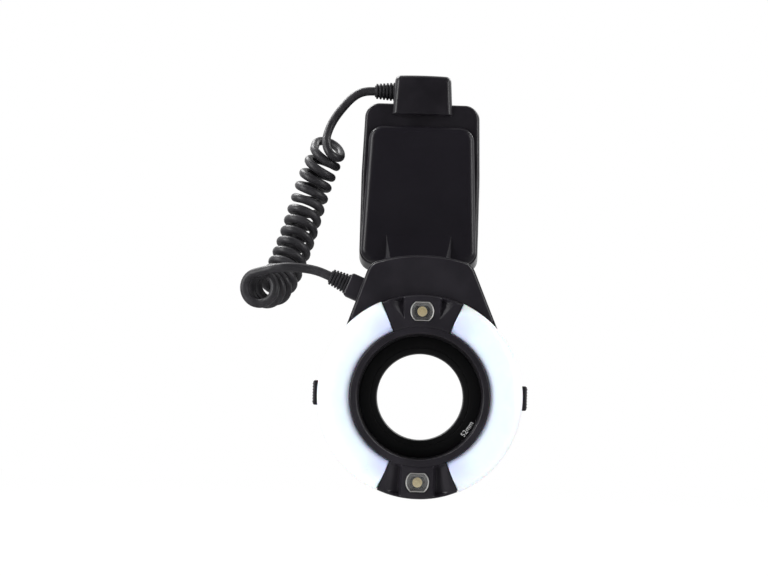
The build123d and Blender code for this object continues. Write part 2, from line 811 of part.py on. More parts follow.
def pilot_lamp():
    """A domed light pipe beside the test key."""
    inner_y = UNIT_REAR_Y - UNIT_WALL
    dome_y = UNIT_REAR_Y + THIN_LIP / 2
    pipe = round_bar(PILOT_R - RUN_FIT, (PILOT_X, BOARD_Y, SWITCH_Z), (PILOT_X, dome_y, SWITCH_Z))
    pipe = fillet(pipe.faces().sort_by(Axis.Y)[-1].edges(), BUTTON_EDGE_R)
    collar = round_bar(
        PILOT_R + THIN_LIP, (PILOT_X, inner_y - BUTTON_FLANGE_T, SWITCH_Z), (PILOT_X, inner_y, SWITCH_Z)
    )
    return pipe + collar


# Shoe foot and its lock


def foot():
    """The foot plate, its neck and the round stem that the wheel turns on."""
    plate = extrude(RectangleRounded(FOOT_W, FOOT_L, FOOT_CORNER_R), amount=FOOT_T)
    neck = block(around(0, NECK_W), around(0, NECK_L), (FOOT_T, NECK_TOP_Z))
    stem = round_bar(STEM_R, (0, 0, NECK_TOP_Z), (0, 0, UNIT_BOTTOM_Z))
    body = plate + neck + stem
    for x, y, radius in contact_places():
        body -= round_bar(radius + RUN_FIT, (x, y, -OVERRUN), (x, y, FOOT_T - RUN_FIT))
    return body - round_bar(
        LOCK_PIN_R + RUN_FIT, (0, LOCK_PIN_Y, -OVERRUN), (0, LOCK_PIN_Y, FOOT_T + OVERRUN)
    )


def contact_places():
    """The middle contact and four small ones around it."""
    small = [(side * CONTACT_SPACING, row * CONTACT_SPACING) for side in (-1, 1) for row in (0, 1)]
    return [(0, 0, CENTRE_CONTACT_R)] + [(x, y, CONTACT_R) for x, y in small]


def shoe_contacts():
    """Sprung contact pins that stand out of the foot's underside."""
    pins = []
    for x, y, radius in contact_places():
        top_z = FOOT_T - CONTACT_PROUD - 3 * RUN_FIT
        pin = round_bar(radius, (x, y, -CONTACT_PROUD), (x, y, top_z))
        pins.append(fillet(pin.faces().sort_by(Axis.Z)[0].edges(), CONTACT_PROUD / 2))
    return pins


def lock_wheel():
    """The fluted wheel that screws down on the clamp plate."""
    low = NECK_TOP_Z + BODY_GAP
    wheel = round_bar(LOCK_WHEEL_R, (0, 0, low), (0, 0, low + LOCK_WHEEL_T))
    wheel = chamfer(wheel.edges().filter_by(GeomType.CIRCLE), THIN_LIP / 2)
    wheel -= round_bar(STEM_R + RUN_FIT, (0, 0, low - OVERRUN), (0, 0, low + LOCK_WHEEL_T + OVERRUN))
    high = low + LOCK_WHEEL_T + OVERRUN
    flute = round_bar(FLUTE_R, (LOCK_WHEEL_R, 0, low - OVERRUN), (LOCK_WHEEL_R, 0, high))
    return wheel - PolarLocations(0, LOCK_WHEEL_FLUTES) * flute


def clamp_plate():
    """A square plate, keyed on the neck, that presses on the shoe's rails."""
    plate = extrude(
        Pos(0, 0, NECK_TOP_Z - CLAMP_PLATE_T)
        * RectangleRounded(CLAMP_PLATE_W, CLAMP_PLATE_W, FOOT_CORNER_R),
        amount=CLAMP_PLATE_T,
    )
    hole = block(
        around(0, NECK_W + 2 * RUN_FIT),
        around(0, NECK_L + 2 * RUN_FIT),
        (NECK_TOP_Z - CLAMP_PLATE_T - OVERRUN, NECK_TOP_Z + OVERRUN),
    )
    return plate - hole


def lock_pin():
    """The pin under the clamp plate that drops into the shoe's hole."""
    return round_bar(LOCK_PIN_R, (0, LOCK_PIN_Y, RUN_FIT), (0, LOCK_PIN_Y, NECK_TOP_Z - CLAMP_PLATE_T))


# Connector housing and strain reliefs


def connector_housing():
    """The block on the unit's top that the cord leaves, leaning back and bowed in front."""
    half = CONNECTOR_W / 2
    foot_half = half + CONNECTOR_FLARE
    low = Plane.XY.offset(CONNECTOR_BOTTOM_Z) * connector_plan(foot_half, CONNECTOR_FRONT_Y)
    high = Plane.XY.offset(CONNECTOR_TOP_Z) * connector_plan(half, CONNECTOR_FRONT_Y + CONNECTOR_LEAN)
    body = loft([low.face(), high.face()], ruled=True)
    top = body.faces().sort_by(Axis.Z)[-1]
    body = fillet(top.edges(), CONNECTOR_EDGE_R)
    body -= front_half(0)
    body -= round_bar(
        RELIEF_LARGE_R + RUN_FIT,
        (top_relief_x(), TOP_RELIEF_Y, TOP_RELIEF_Z),
        (UPPER_ROUTE[0][0], TOP_RELIEF_Y, TOP_RELIEF_Z),
    )
    return max(body.solids(), key=lambda s: s.volume) - cord_entry(0)


def top_relief_x():
    """The strain relief stands in a shallow seat in the housing's left side."""
    return -CONNECTOR_W / 2 - CONNECTOR_FLARE / 4


def connector_plan(half, front_y):
    """Plan of the connector housing at one height."""
    bow = front_y - CONNECTOR_BOW
    outline = [
        Line((half, CONNECTOR_REAR_Y), (-half, CONNECTOR_REAR_Y)),
        Line((-half, CONNECTOR_REAR_Y), (-half, front_y)),
        ThreePointArc((-half, front_y), (0, bow), (half, front_y)),
        Line((half, front_y), (half, CONNECTOR_REAR_Y)),
    ]
    return make_face(outline)


def cord_entry(spare):
    """The bore that carries the cord from the strain relief into the unit."""
    start_x = -CONNECTOR_W / 2 - CONNECTOR_FLARE - OVERRUN
    across = round_bar(CORD_R, (start_x, TOP_RELIEF_Y, TOP_RELIEF_Z), (0, TOP_RELIEF_Y, TOP_RELIEF_Z))
    low_z = TOP_RELIEF_Z - RELIEF_L - spare
    down = round_bar(CORD_R, (-CORD_R, TOP_RELIEF_Y, TOP_RELIEF_Z), (-CORD_R, TOP_RELIEF_Y, low_z))
    return across + down


def ribbed_relief(length, small_r, large_r, ribs):
    """A tapered strain relief along +Z: rings joined by a thinner core, with a cord bore."""
    pitch = length / ribs
    groove = pitch / 3
    upward = (Align.CENTER, Align.CENTER, Align.MIN)
    core = Cone(large_r - THIN_LIP, small_r - THIN_LIP, length, align=upward)
    body = core
    for i in range(ribs):
        radius = large_r + (small_r - large_r) * i / (ribs - 1)
        ring = Pos(0, 0, i * pitch) * Cylinder(radius, pitch - groove, align=upward)
        body += ring
    return body


def top_strain_relief():
    low = Vector(top_relief_x(), TOP_RELIEF_Y, TOP_RELIEF_Z)
    plane = Plane(origin=low, z_dir=(-1, 0, 0))
    length = low.X - UPPER_ROUTE[0][0]
    return plane.location * ribbed_relief(length, RELIEF_SMALL_R, RELIEF_LARGE_R, RELIEF_RIBS)


def plug_direction():
    angle = radians(PLUG_ANGLE)
    return Vector(-cos(angle), 0, sin(angle))


def plug_point(distance):
    """A point on the plug's axis, from the hood's side outward."""
    base = Vector(*head_point(PLUG_BASE_X, PLUG_Y, PLUG_BASE_Z))
    return base + plug_direction() * distance


def head_strain_relief():
    plane = Plane(origin=plug_point(PLUG_L), z_dir=plug_direction())
    return plane.location * ribbed_relief(RELIEF_L, RELIEF_SMALL_R, RELIEF_LARGE_R, RELIEF_RIBS)


def plug_block(growth, start):
    """The plug's rounded block, from a start distance on its axis to its outer end."""
    plane = Plane(origin=plug_point(start), x_dir=(0, 1, 0), z_dir=plug_direction())
    outline = RectangleRounded(PLUG_T + 2 * growth, PLUG_W + 2 * growth, PLUG_EDGE_R)
    return extrude(plane * outline, amount=PLUG_L - start)


def head_plug_housing():
    body = plug_block(0, -PLUG_SUNK)
    return fillet(body.faces().sort_by(Axis.X)[0].edges(), PLUG_EDGE_R / 2)


# Ring head housings


def hood_outline(inset):
    """The hood's outline above the ring, from the lens axis, drawn in by an inset."""
    base = (HOOD_BASE_X - inset, HOOD_BASE_Z)
    corner = (HOOD_CORNER_X - inset, HOOD_CORNER_Z - inset)
    top = (0, HOOD_TOP_Z - inset)
    outline = [
        Line((0, 0), base),
        Line(base, corner),
        ThreePointArc(corner, top, (-corner[0], corner[1])),
        Line((-corner[0], corner[1]), (-base[0], base[1])),
        Line((-base[0], base[1]), (0, 0)),
    ]
    face = make_face(outline)
    corners = [v for v in face.vertices() if v.Y > HOOD_BASE_Z + HOOD_CORNER_R]
    return fillet(corners, HOOD_CORNER_R - inset)


def head_profile(inset):
    """Outline of ring and hood together."""
    return hood_outline(inset) + Circle(HEAD_R - inset)


def latch_slot(side, spare):
    """The slot in the ring's wall that a release button moves in."""
    height = RELEASE_H + 2 * spare
    near = HEAD_R - HEAD_WALL - OVERRUN
    far = RELEASE_REACH + OVERRUN
    x_range = (LENS_X + near, LENS_X + far) if side > 0 else (LENS_X - far, LENS_X - near)
    y_range = around(release_y(), RELEASE_T + 2 * spare)
    return block(x_range, y_range, around(LENS_Z + RELEASE_Z, height))


def release_y():
    """Middle depth of the release buttons, next to the back wall."""
    return HEAD_REAR_Y - HEAD_WALL - BODY_GAP - RELEASE_T / 2


def head_rear_housing():
    depth = HEAD_REAR_Y - HEAD_SPLIT_Y
    shell = extrude(head_plane(HEAD_REAR_Y) * head_profile(0), amount=depth)
    shell = fillet(shell.faces().sort_by(Axis.Y)[-1].edges(), HEAD_EDGE_R)
    hollow = extrude(
        head_plane(HEAD_REAR_Y - HEAD_WALL) * head_profile(HEAD_WALL), amount=depth
    )
    shell -= hollow
    shell -= head_disc(BORE_R, HEAD_REAR_Y + OVERRUN, HEAD_SPLIT_Y - OVERRUN)
    for side in (-1, 1):
        shell -= latch_slot(side, SLIDE_GAP)
        for seat in spring_seats(side):
            shell += seat
    for x, z in head_screw_places():
        start = head_point(x, HEAD_REAR_Y + OVERRUN, z)
        shell -= round_bar(HEAD_SCREW_R + RUN_FIT, start, head_point(x, HEAD_SPLIT_Y, z))
        shell -= round_bar(
            HEAD_SCREW_HEAD_R + RUN_FIT, start, head_point(x, HEAD_REAR_Y - HEAD_WALL / 2, z)
        )
    return shell - plug_block(RUN_FIT, -PLUG_SUNK - RUN_FIT)


def head_screw_places():
    """Four screws into the bezel's bosses and two into the hood cover's."""
    ring = [(x, z) for x in (-HEAD_SCREW_X, HEAD_SCREW_X) for z in (-HEAD_SCREW_Z, HEAD_SCREW_Z)]
    hood_x = HOOD_CORNER_X - HOOD_CORNER_R - HEAD_WALL
    hood_z = HOOD_CORNER_Z - HOOD_CORNER_R
    return ring + [(-hood_x, hood_z), (hood_x, hood_z)]


def head_boss(x, z, front_y):
    """A boss that reaches from a front piece back to the rear housing's wall."""
    start = head_point(x, HEAD_REAR_Y - HEAD_WALL, z)
    end = head_point(x, front_y, z)
    boss = round_bar(HEAD_SCREW_R + BOSS_WALL, start, end)
    tip = head_point(x, HEAD_REAR_Y - HEAD_WALL - HEAD_SCREW_L, z)
    return boss, round_bar(HEAD_SCREW_R, head_point(x, HEAD_REAR_Y, z), tip)


def sector(half_angle, middle_angle, radius):
    """A wedge of a disc about the lens axis."""
    start = radians(middle_angle - half_angle)
    end = radians(middle_angle + half_angle)
    middle = radians(middle_angle)
    a = (radius * cos(start), radius * sin(start))
    b = (radius * cos(middle), radius * sin(middle))
    c = (radius * cos(end), radius * sin(end))
    return make_face([Line((0, 0), a), ThreePointArc(a, b, c), Line(c, (0, 0))])


def segment_wedge(half_angle, up):
    """The wedge of one black segment, from the split line to beyond the front."""
    middle = up * (pi / 2)
    face = sector(half_angle, degrees(middle), 2 * HEAD_R)
    return extrude(head_plane(HEAD_SPLIT_Y) * face, amount=HEAD_SPLIT_Y - HEAD_FRONT_Y + 2 * OVERRUN)


def segment_half_angle():
    return degrees(pi / 2 - SEGMENT_GAP / HEAD_R) - DIFFUSER_HALF_ANGLE


def lamp_block(up, growth):
    """The raised block round a focusing lamp, with slanted flanks."""
    base_half = LAMP_BLOCK_W / 2 + growth
    top_half = LAMP_BLOCK_W / 2 - LAMP_BLOCK_PROUD * 2 + growth
    low_r = BEZEL_IN_R + BEZEL_WALL
    high_r = HEAD_R - HEAD_EDGE_R
    faces = []
    for half, y in ((base_half, HEAD_FRONT_Y + LAMP_BLOCK_PROUD), (top_half, HEAD_FRONT_Y)):
        corners = [(-half, up * low_r), (half, up * low_r), (half, up * high_r), (-half, up * high_r)]
        face = make_face(Polyline(*corners, close=True))
        faces.append((head_plane(y) * face).face())
    return loft(faces, ruled=True)


def head_front_bezel():
    """The black front frame: inner ring, top and bottom segments, and the lamp seats."""
    bezel = head_ring(BEZEL_IN_R + BEZEL_WALL, BEZEL_IN_R, latch_front_y() - BODY_GAP, HEAD_FRONT_Y)
    lip = bezel.faces().sort_by(Axis.Y)[0].edges()
    bezel = fillet(lip, BEZEL_LIP_R)
    segments = head_ring(HEAD_R, BEZEL_IN_R + BEZEL_WALL / 2, HEAD_SPLIT_Y, HEAD_FRONT_Y + LAMP_BLOCK_PROUD)
    outer_edges = segments.faces().sort_by(Axis.Y)[0].edges().sort_by(SortBy.LENGTH)[-1:]
    segments = fillet(outer_edges, HEAD_EDGE_R)
    inner_y = HEAD_FRONT_Y + LAMP_BLOCK_PROUD + HEAD_WALL
    hollow = head_ring(HEAD_R - HEAD_WALL, BEZEL_IN_R + BEZEL_WALL, HEAD_SPLIT_Y + OVERRUN, inner_y)
    depth = HEAD_SPLIT_Y - HEAD_FRONT_Y + OVERRUN
    inner_half = segment_half_angle() - degrees(HEAD_WALL / TUBE_R)
    for up in (-1, 1):
        wedge = segments & segment_wedge(segment_half_angle(), up)
        wedge += lamp_block(up, 0)
        wedge_room = sector(inner_half, 90 * up, 2 * HEAD_R)
        room = hollow & extrude(head_plane(HEAD_SPLIT_Y + OVERRUN) * wedge_room, amount=depth)
        bezel += wedge - room
        bezel -= lamp_seat(up)
    for x, z in head_screw_places()[:4]:
        boss, pilot = head_boss(x, z, HEAD_FRONT_Y + LAMP_BLOCK_PROUD + HEAD_WALL / 2)
        bezel += boss
        bezel -= pilot
    return bezel


def lamp_outline(growth):
    return Ellipse(LAMP_W / 2 + growth, LAMP_H / 2 + growth)


def lamp_seat(up):
    """The oval hole for a lamp's lens and rim."""
    plane = facing_front(HEAD_SPLIT_Y + OVERRUN, LENS_X, LENS_Z + up * LAMP_R)
    depth = HEAD_SPLIT_Y - HEAD_FRONT_Y + 2 * OVERRUN
    return extrude(plane * lamp_outline(LAMP_RIM + RUN_FIT), amount=depth)


def lamp_rim(up):
    """The thin bright ring round a lamp's lens."""
    plane = facing_front(HEAD_FRONT_Y + LAMP_LENS_T, LENS_X, LENS_Z + up * LAMP_R)
    ring = lamp_outline(LAMP_RIM) - lamp_outline(0)
    return extrude(plane * ring, amount=LAMP_LENS_T + LAMP_RIM / 2)


def lamp_lens(up):
    """A lens with a low dome and a flat back."""
    back_y = HEAD_FRONT_Y + LAMP_LENS_T
    plane = facing_front(back_y, LENS_X, LENS_Z + up * LAMP_R)
    lens = extrude(plane * lamp_outline(-RUN_FIT), amount=LAMP_LENS_T)
    return fillet(lens.faces().sort_by(Axis.Y)[0].edges(), LAMP_DOME)


def lamp_led(up):
    """A yellow emitter on its small board, behind the lens."""
    x, z = LENS_X, LENS_Z + up * LAMP_R
    board_front = HEAD_SPLIT_Y + OVERRUN
    lens_back = HEAD_FRONT_Y + LAMP_LENS_T + BODY_GAP
    board = block(around(x, LED_BOARD_W), (board_front, board_front + BOARD_T), around(z, LED_BOARD_H))
    emitter = round_bar(LED_R, (x, board_front, z), (x, lens_back, z))
    emitter = fillet(emitter.faces().sort_by(Axis.Y)[0].edges(), LED_R / 3)
    foot_pin = round_bar(LED_R / 2, (x, board_front + BOARD_T, z), (x, HEAD_REAR_Y - HEAD_WALL, z))
    return board + emitter + foot_pin


def hood_cover():
    """The hood's front plate, cut to the ring's curve along its lower edge."""
    thick = HEAD_SPLIT_Y - HOOD_FACE_Y
    plate = extrude(head_plane(HEAD_SPLIT_Y) * hood_outline(0), amount=thick)
    plate -= head_disc(HOOD_ARC_R, HEAD_SPLIT_Y + OVERRUN, HOOD_FACE_Y - OVERRUN)
    plate = plate.solids().sort_by(SortBy.VOLUME)[-1]
    front_edges = plate.faces().sort_by(Axis.Y)[0].edges()
    rim = [edge for edge in front_edges if edge.center().Z > LENS_Z + HOOD_ARC_R]
    plate = fillet(rim, HOOD_EDGE_R)
    for x, z in head_screw_places()[4:]:
        boss, pilot = head_boss(x, z, HEAD_SPLIT_Y)
        plate += boss
        plate -= pilot
    return plate - plug_block(RUN_FIT, -PLUG_SUNK - RUN_FIT)


def head_screws():
    screws = []
    for x, z in head_screw_places():
        head_y = HEAD_REAR_Y - HEAD_WALL / 2
        head = round_bar(HEAD_SCREW_HEAD_R, head_point(x, head_y, z), head_point(x, HEAD_REAR_Y, z))
        tip = head_point(x, HEAD_REAR_Y - HEAD_WALL - HEAD_SCREW_L + RUN_FIT, z)
        shank = round_bar(HEAD_SCREW_R - RUN_FIT / 6, head_point(x, head_y, z), tip)
        screws.append(head + shank)
    return screws


def head_board():
    """The flash board in the hood, on the hood cover's two bosses' line."""
    y = HEAD_SPLIT_Y
    return block(
        around(LENS_X, HEAD_BOARD_W - 2 * HEAD_WALL),
        (y, y + BOARD_T),
        around(LENS_Z + HEAD_BOARD_Z - HEAD_WALL, HEAD_BOARD_H - HEAD_WALL),
    )


# Light chambers


def turned(profile, middle_angle, half_angle):
    """Turn a radial profile about the lens axis through twice the half angle."""
    start = middle_angle - half_angle
    axis = Axis((LENS_X, 0, LENS_Z), (0, -1, 0))
    placed = Plane(origin=(LENS_X, 0, LENS_Z), x_dir=(1, 0, 0), z_dir=(0, 0, 1)) * profile
    solid = revolve(placed, axis, revolution_arc=2 * half_angle)
    return solid.rotate(axis, start)


def diffuser_profile(inset):
    """Radial section of a diffuser, x outward from the lens axis and y along it."""
    low = DIFFUSER_IN_R + inset
    high = HEAD_R - inset
    back = HEAD_SPLIT_Y
    side = HEAD_FRONT_Y + DIFFUSER_SIDE + inset / 2
    inner = HEAD_FRONT_Y + DIFFUSER_SIDE / 2 + inset / 2
    front = HEAD_FRONT_Y + inset
    outline = [
        Line((low, back + inset), (low, inner)),
        ThreePointArc((low, inner), ((low + high) / 2 - DIFFUSER_SIDE / 4, front), (high, side)),
        Line((high, side), (high, back + inset)),
        Line((high, back + inset), (low, back + inset)),
    ]
    face = make_face(outline)
    rim = [v for v in face.vertices() if v.Y < back - THIN_LIP]
    return fillet(rim, DIFFUSER_EDGE_R - inset if inset else DIFFUSER_EDGE_R)


def diffuser(side):
    """A domed white cover with closed ends, open toward its reflector."""
    middle = 0 if side > 0 else 180
    outer = turned(diffuser_profile(0), middle, DIFFUSER_HALF_ANGLE)
    inner_angle = DIFFUSER_HALF_ANGLE - degrees(DIFFUSER_T / DIFFUSER_IN_R)
    return outer - turned(diffuser_profile(DIFFUSER_T), middle, inner_angle)


def reflector(side):
    """A bright trough behind the diffuser, with a wall at each end that holds the tube's wire."""
    middle = 0 if side > 0 else 180
    low, high = REFLECTOR_IN_R, REFLECTOR_OUT_R
    depth = (high - low) / 3
    middle_r = (low + high) / 2
    back = REFLECTOR_BACK_Y
    front = HEAD_SPLIT_Y + 2 * BODY_GAP

    def trough(inset):
        outline = [
            Line((low + inset, front - inset), (low + inset, back - depth)),
            ThreePointArc((low + inset, back - depth), (middle_r, back - inset), (high - inset, back - depth)),
            Line((high - inset, back - depth), (high - inset, front - inset)),
            Line((high - inset, front - inset), (low + inset, front - inset)),
        ]
        return make_face(outline)

    outer = turned(trough(0), middle, REFLECTOR_HALF_ANGLE)
    inner = turned(trough(REFLECTOR_T), middle, REFLECTOR_HALF_ANGLE + THIN_LIP)
    shell = outer - inner
    wall_half_angle = degrees(REFLECTOR_T / TUBE_R)
    for end in (-1, 1):
        shell += turned(trough(0), middle + end * (TUBE_HALF_ANGLE + 2 * wall_half_angle), wall_half_angle)
    wire_hole = Pos(TUBE_R, TUBE_Y) * Circle(TUBE_WIRE_R + RUN_FIT)
    return shell - turned(wire_hole, middle, REFLECTOR_HALF_ANGLE)


def flash_tube(side):
    """An arc-shaped glass tube with a wire end at each side."""
    middle = 0 if side > 0 else 180
    section = Pos(TUBE_R, TUBE_Y) * Circle(TUBE_SECTION_R)
    glass = turned(section, middle, TUBE_HALF_ANGLE)
    wire = Pos(TUBE_R, TUBE_Y) * Circle(TUBE_WIRE_R)
    return glass + turned(wire, middle, TUBE_HALF_ANGLE + degrees(TUBE_WIRE_L / TUBE_R))


# Latch that holds the head on its adapter


def latch_back_y(side):
    """Back face of a latch plate: the two plates lie one in front of the other."""
    first = HEAD_REAR_Y - HEAD_WALL - LATCH_GAP
    return first if side < 0 else first - LATCH_T - LATCH_GAP


def latch_front_y():
    """Front face of the front latch plate."""
    return latch_back_y(1) - LATCH_T


def latch_plate(side):
    """A plate round the bore: an arm to its button, and a claw on the far side."""
    back = latch_back_y(side)
    hole_r = BORE_R + BODY_GAP
    shift = LATCH_TRAVEL + BODY_GAP
    disc = Circle(LATCH_OUT_R)
    hole = Circle(hole_r) + Pos(side * shift, 0) * Circle(hole_r)
    hole += Pos(side * shift / 2, 0) * Rectangle(shift, 2 * hole_r)
    claw_in = BORE_R - LATCH_CLAW
    claw = Pos(-side * (claw_in + BEZEL_WALL / 2), 0) * Rectangle(BEZEL_WALL, LATCH_CLAW_W)
    claw -= Circle(claw_in)
    arm_end = release_flange_in()
    arm = Pos(side * (LATCH_OUT_R - BEZEL_WALL / 3 + arm_end) / 2, RELEASE_Z) * Rectangle(
        arm_end - LATCH_OUT_R + BEZEL_WALL / 3, LATCH_ARM_W
    )
    return extrude(head_plane(back) * ((disc - hole) + claw + arm), amount=LATCH_T)


def release_flange_in():
    """Inner face of a release button's flange, from the lens axis."""
    return HEAD_R - HEAD_WALL - BODY_GAP - RELEASE_FLANGE_T - THIN_LIP / 2


def release_button(side):
    """The button at three or nine o'clock, with the flange that keeps it in."""
    flange_in = release_flange_in()
    start = LENS_X + side * flange_in
    tip = LENS_X + side * RELEASE_REACH
    flange_end = start + side * RELEASE_FLANGE_T
    z = LENS_Z + RELEASE_Z
    cap = block(
        (min(flange_end, tip), max(flange_end, tip)), around(release_y(), RELEASE_T), around(z, RELEASE_H)
    )
    outer = cap.faces().sort_by(Axis.X)[-1 if side > 0 else 0]
    cap = fillet(outer.edges(), RELEASE_EDGE_R)
    for step in (-1, 0, 1):
        groove = round_bar(
            BUTTON_EDGE_R,
            (tip, release_y() - RELEASE_T, z + step * 2 * RELEASE_EDGE_R),
            (tip, release_y() + RELEASE_T, z + step * 2 * RELEASE_EDGE_R),
        )
        cap -= groove
    flange = block(
        (min(start, flange_end), max(start, flange_end)),
        around(release_y(), RELEASE_T),
        around(z, RELEASE_H + 2 * RELEASE_FLANGE_H),
    )
    return cap + flange


def spring_places(side):
    """Start, end and height of the two springs behind a release button."""
    end = side * release_flange_in()
    start = end - side * (SPRING_TURNS * 2 * SPRING_R / 2)
    return [(start, end, RELEASE_Z + up * SPRING_Z) for up in (-1, 1)]


def spring_y():
    """Depth of the springs, in the middle of the button's thickness."""
    return release_y()


def spring_seats(side):
    """Posts on the back wall that the latch springs push against."""
    seats = []
    for start, end, z in spring_places(side):
        x_range = sorted((LENS_X + start - side * RUN_FIT, LENS_X + start - side * SPRING_SEAT_T))
        seats.append(
            block(
                tuple(x_range),
                (release_y() - SPRING_R, HEAD_REAR_Y - HEAD_WALL),
                around(LENS_Z + z, 2 * SPRING_R),
            )
        )
    return seats


def latch_springs(side):
    """Two small coil springs, each drawn as a sleeve with ground ends."""
    springs = []
    for start, end, z in spring_places(side):
        low = head_point(start + side * RUN_FIT, spring_y(), z)
        high = head_point(end - side * RUN_FIT, spring_y(), z)
        springs.append(tube_bar(SPRING_R, SPRING_R - 2 * SPRING_WIRE_R, low, high))
    return springs


def adapter_ring():
    """The ring that stays on the lens: a grooved rim for the claws and a male thread."""
    rim_r = BORE_R - RUN_FIT
    back = HEAD_REAR_Y
    body = head_ring(rim_r, ADAPTER_IN_R, back, ADAPTER_FRONT_Y)
    groove_back = latch_back_y(-1) + LATCH_GAP / 2
    groove_front = latch_front_y() - LATCH_GAP / 2
    body -= head_ring(rim_r + OVERRUN, rim_r - ADAPTER_GROOVE, groove_back, groove_front)
    body += head_ring(ADAPTER_GRIP_R, ADAPTER_IN_R, back + ADAPTER_GRIP_T, back)
    body += head_ring(THREAD_R, ADAPTER_IN_R, back + ADAPTER_GRIP_T + THREAD_L, back)
    rim_edges = body.faces().sort_by(Axis.Y)[0].edges()
    return chamfer(rim_edges, BEZEL_LIP_R / 2)


# Cord


def cord_tube(route):
    """A faceted tube along straight runs joined by the largest tangent arcs."""
    points = [Vector(*p) for p in route]
    runs = [b - a for a, b in zip(points, points[1:])]
    radii = []
    for a, b in zip(runs, runs[1:]):
        turn = radians(a.get_angle(b))
        radii.append(ARC_SHARE * min(a.length, b.length) / tan(turn / 2))
    path = FilletPolyline(*points, radius=radii)
    section = Plane(origin=points[0], z_dir=runs[0]) * RegularPolygon(CORD_R, CORD_SIDES)
    tube = sweep(section, path=path, clean=False)
    return tube, radii, path.length


def clamped_spline(points, share):
    """A point on the quadratic B-spline of a route, and its unit tangent."""
    spans = len(points) - 2
    place = min(max(share, 0), 1) * spans
    span = min(int(place), spans - 1)
    t = place - span
    a, b, c = (Vector(*points[span + i]) for i in range(3))
    start = a if span == 0 else (a + b) / 2
    end = c if span == spans - 1 else (b + c) / 2
    point = start * (1 - t) ** 2 + b * (2 * t * (1 - t)) + end * t**2
    tangent = ((b - start) * (1 - t) + (end - b) * t).normalized()
    return point, tangent


def coil_frames():
    """Points, tangents and carried normals along the coil's axis, with their distances."""
    points, tangents, normals, distances = [], [], [], []
    for i in range(COIL_AXIS_STEPS + 1):
        point, tangent = clamped_spline(COIL_ROUTE, i / COIL_AXIS_STEPS)
        last = normals[-1] if normals else Vector(0, -1, 0)
        normal = (last - tangent * last.dot(tangent)).normalized()
        distance = distances[-1] + (point - points[-1]).length if points else 0
        points.append(point)
        tangents.append(tangent)
        normals.append(normal)
        distances.append(distance)
    return points, tangents, normals, distances


class CurlyPath:
    """The curly cord's centreline: a helix about a bent axis that opens from the axis."""

    def __init__(self):
        self.points, self.tangents, self.normals, self.distances = coil_frames()
        end_tangent, end_normal = self.tangents[-1], self.normals[-1]
        up = Vector(0, 0, 1)
        side = end_tangent.cross(end_normal)
        self.end_phase = atan2(up.dot(side), up.dot(end_normal))

    def place(self, turn):
        """The centreline's point after so many turns from the coil's start."""
        opening = min(1, turn / COIL_OPENING_TURNS)
        stretch = COIL_OPENING_PITCH * COIL_OPENING_TURNS / 3
        pitch = (self.distances[-1] - stretch) / COIL_TURNS
        distance = pitch * turn + stretch * (1 - (1 - opening) ** 3)
        index = min(int(distance / self.distances[-1] * COIL_AXIS_STEPS), COIL_AXIS_STEPS - 1)
        while index and self.distances[index] > distance:
            index -= 1
        while index < COIL_AXIS_STEPS - 1 and self.distances[index + 1] < distance:
            index += 1
        step = self.distances[index + 1] - self.distances[index]
        part = (distance - self.distances[index]) / step
        point = self.points[index] * (1 - part) + self.points[index + 1] * part
        tangent = self.tangents[index] * (1 - part) + self.tangents[index + 1] * part
        normal = self.normals[index] * (1 - part) + self.normals[index + 1] * part
        tangent = tangent.normalized()
        normal = (normal - tangent * normal.dot(tangent)).normalized()
        side = tangent.cross(normal)
        phase = self.end_phase - (turn - COIL_TURNS) * 2 * pi
        radius = COIL_R * opening**2 * (3 - 2 * opening)
        return point + (normal * cos(phase) + side * sin(phase)) * radius

    def tangent(self, turn):
        step = 1 / COIL_AXIS_STEPS
        low = max(turn - step, 0)
        high = min(turn + step, COIL_TURNS)
        return (self.place(high) - self.place(low)).normalized()


def biarc(start, start_tangent, end, end_tangent):
    """Two arcs that join two points and leave each along its tangent."""
    chord = end - start
    both = start_tangent + end_tangent
    open_share = 2 * (1 - start_tangent.dot(end_tangent))
    along = chord.dot(both)
    reach = (sqrt(along**2 + open_share * chord.dot(chord)) - along) / open_share
    first = start + start_tangent * reach
    second = end - end_tangent * reach
    middle = (first + second) / 2
    joint_tangent = (second - first).normalized()
    return [
        TangentArc(start, middle, tangent=start_tangent),
        TangentArc(middle, end, tangent=joint_tangent),
    ]


def curly_centreline():
    """Edges of the curly cord's centreline, straight for one diameter at both ends."""
    path = CurlyPath()
    opening_steps = 6
    turns = [COIL_OPENING_TURNS * i / opening_steps for i in range(opening_steps)]
    half_turns = 2 * (COIL_TURNS - COIL_OPENING_TURNS)
    turns += [COIL_OPENING_TURNS + i / 2 for i in range(half_turns + 1)]
    knots = [(path.place(t), path.tangent(t)) for t in turns]
    knots[0] = (knots[0][0], Vector(*COIL_ROUTE[1]) - Vector(*COIL_ROUTE[0]))
    knots[0] = (knots[0][0], knots[0][1].normalized())
    first, first_tangent = knots[0]
    last, last_tangent = knots[-1]
    edges = [Line(UPPER_ROUTE[-1], first)]
    for (a, ta), (b, tb) in zip(knots, knots[1:]):
        edges += biarc(a, ta, b, tb)
    edges.append(Line(last, last + last_tangent * 2 * CORD_R))
    return edges


def least_self_gap(edges):
    """Smallest gap between turns of the tube, measured on points of the centreline."""
    points, distances = [], []
    for edge in edges:
        for i in range(6):
            point = edge @ (i / 6)
            walked = distances[-1] + (point - points[-1]).length if points else 0
            points.append(point)
            distances.append(walked)
    least = UNIT_W
    for i, point in enumerate(points):
        for j in range(i + 1, len(points)):
            if distances[j] - distances[i] > pi * COIL_R:
                if distances[j] - distances[i] > 6 * pi * COIL_R:
                    break
                least = min(least, (points[j] - point).length - 2 * CORD_R)
    return least


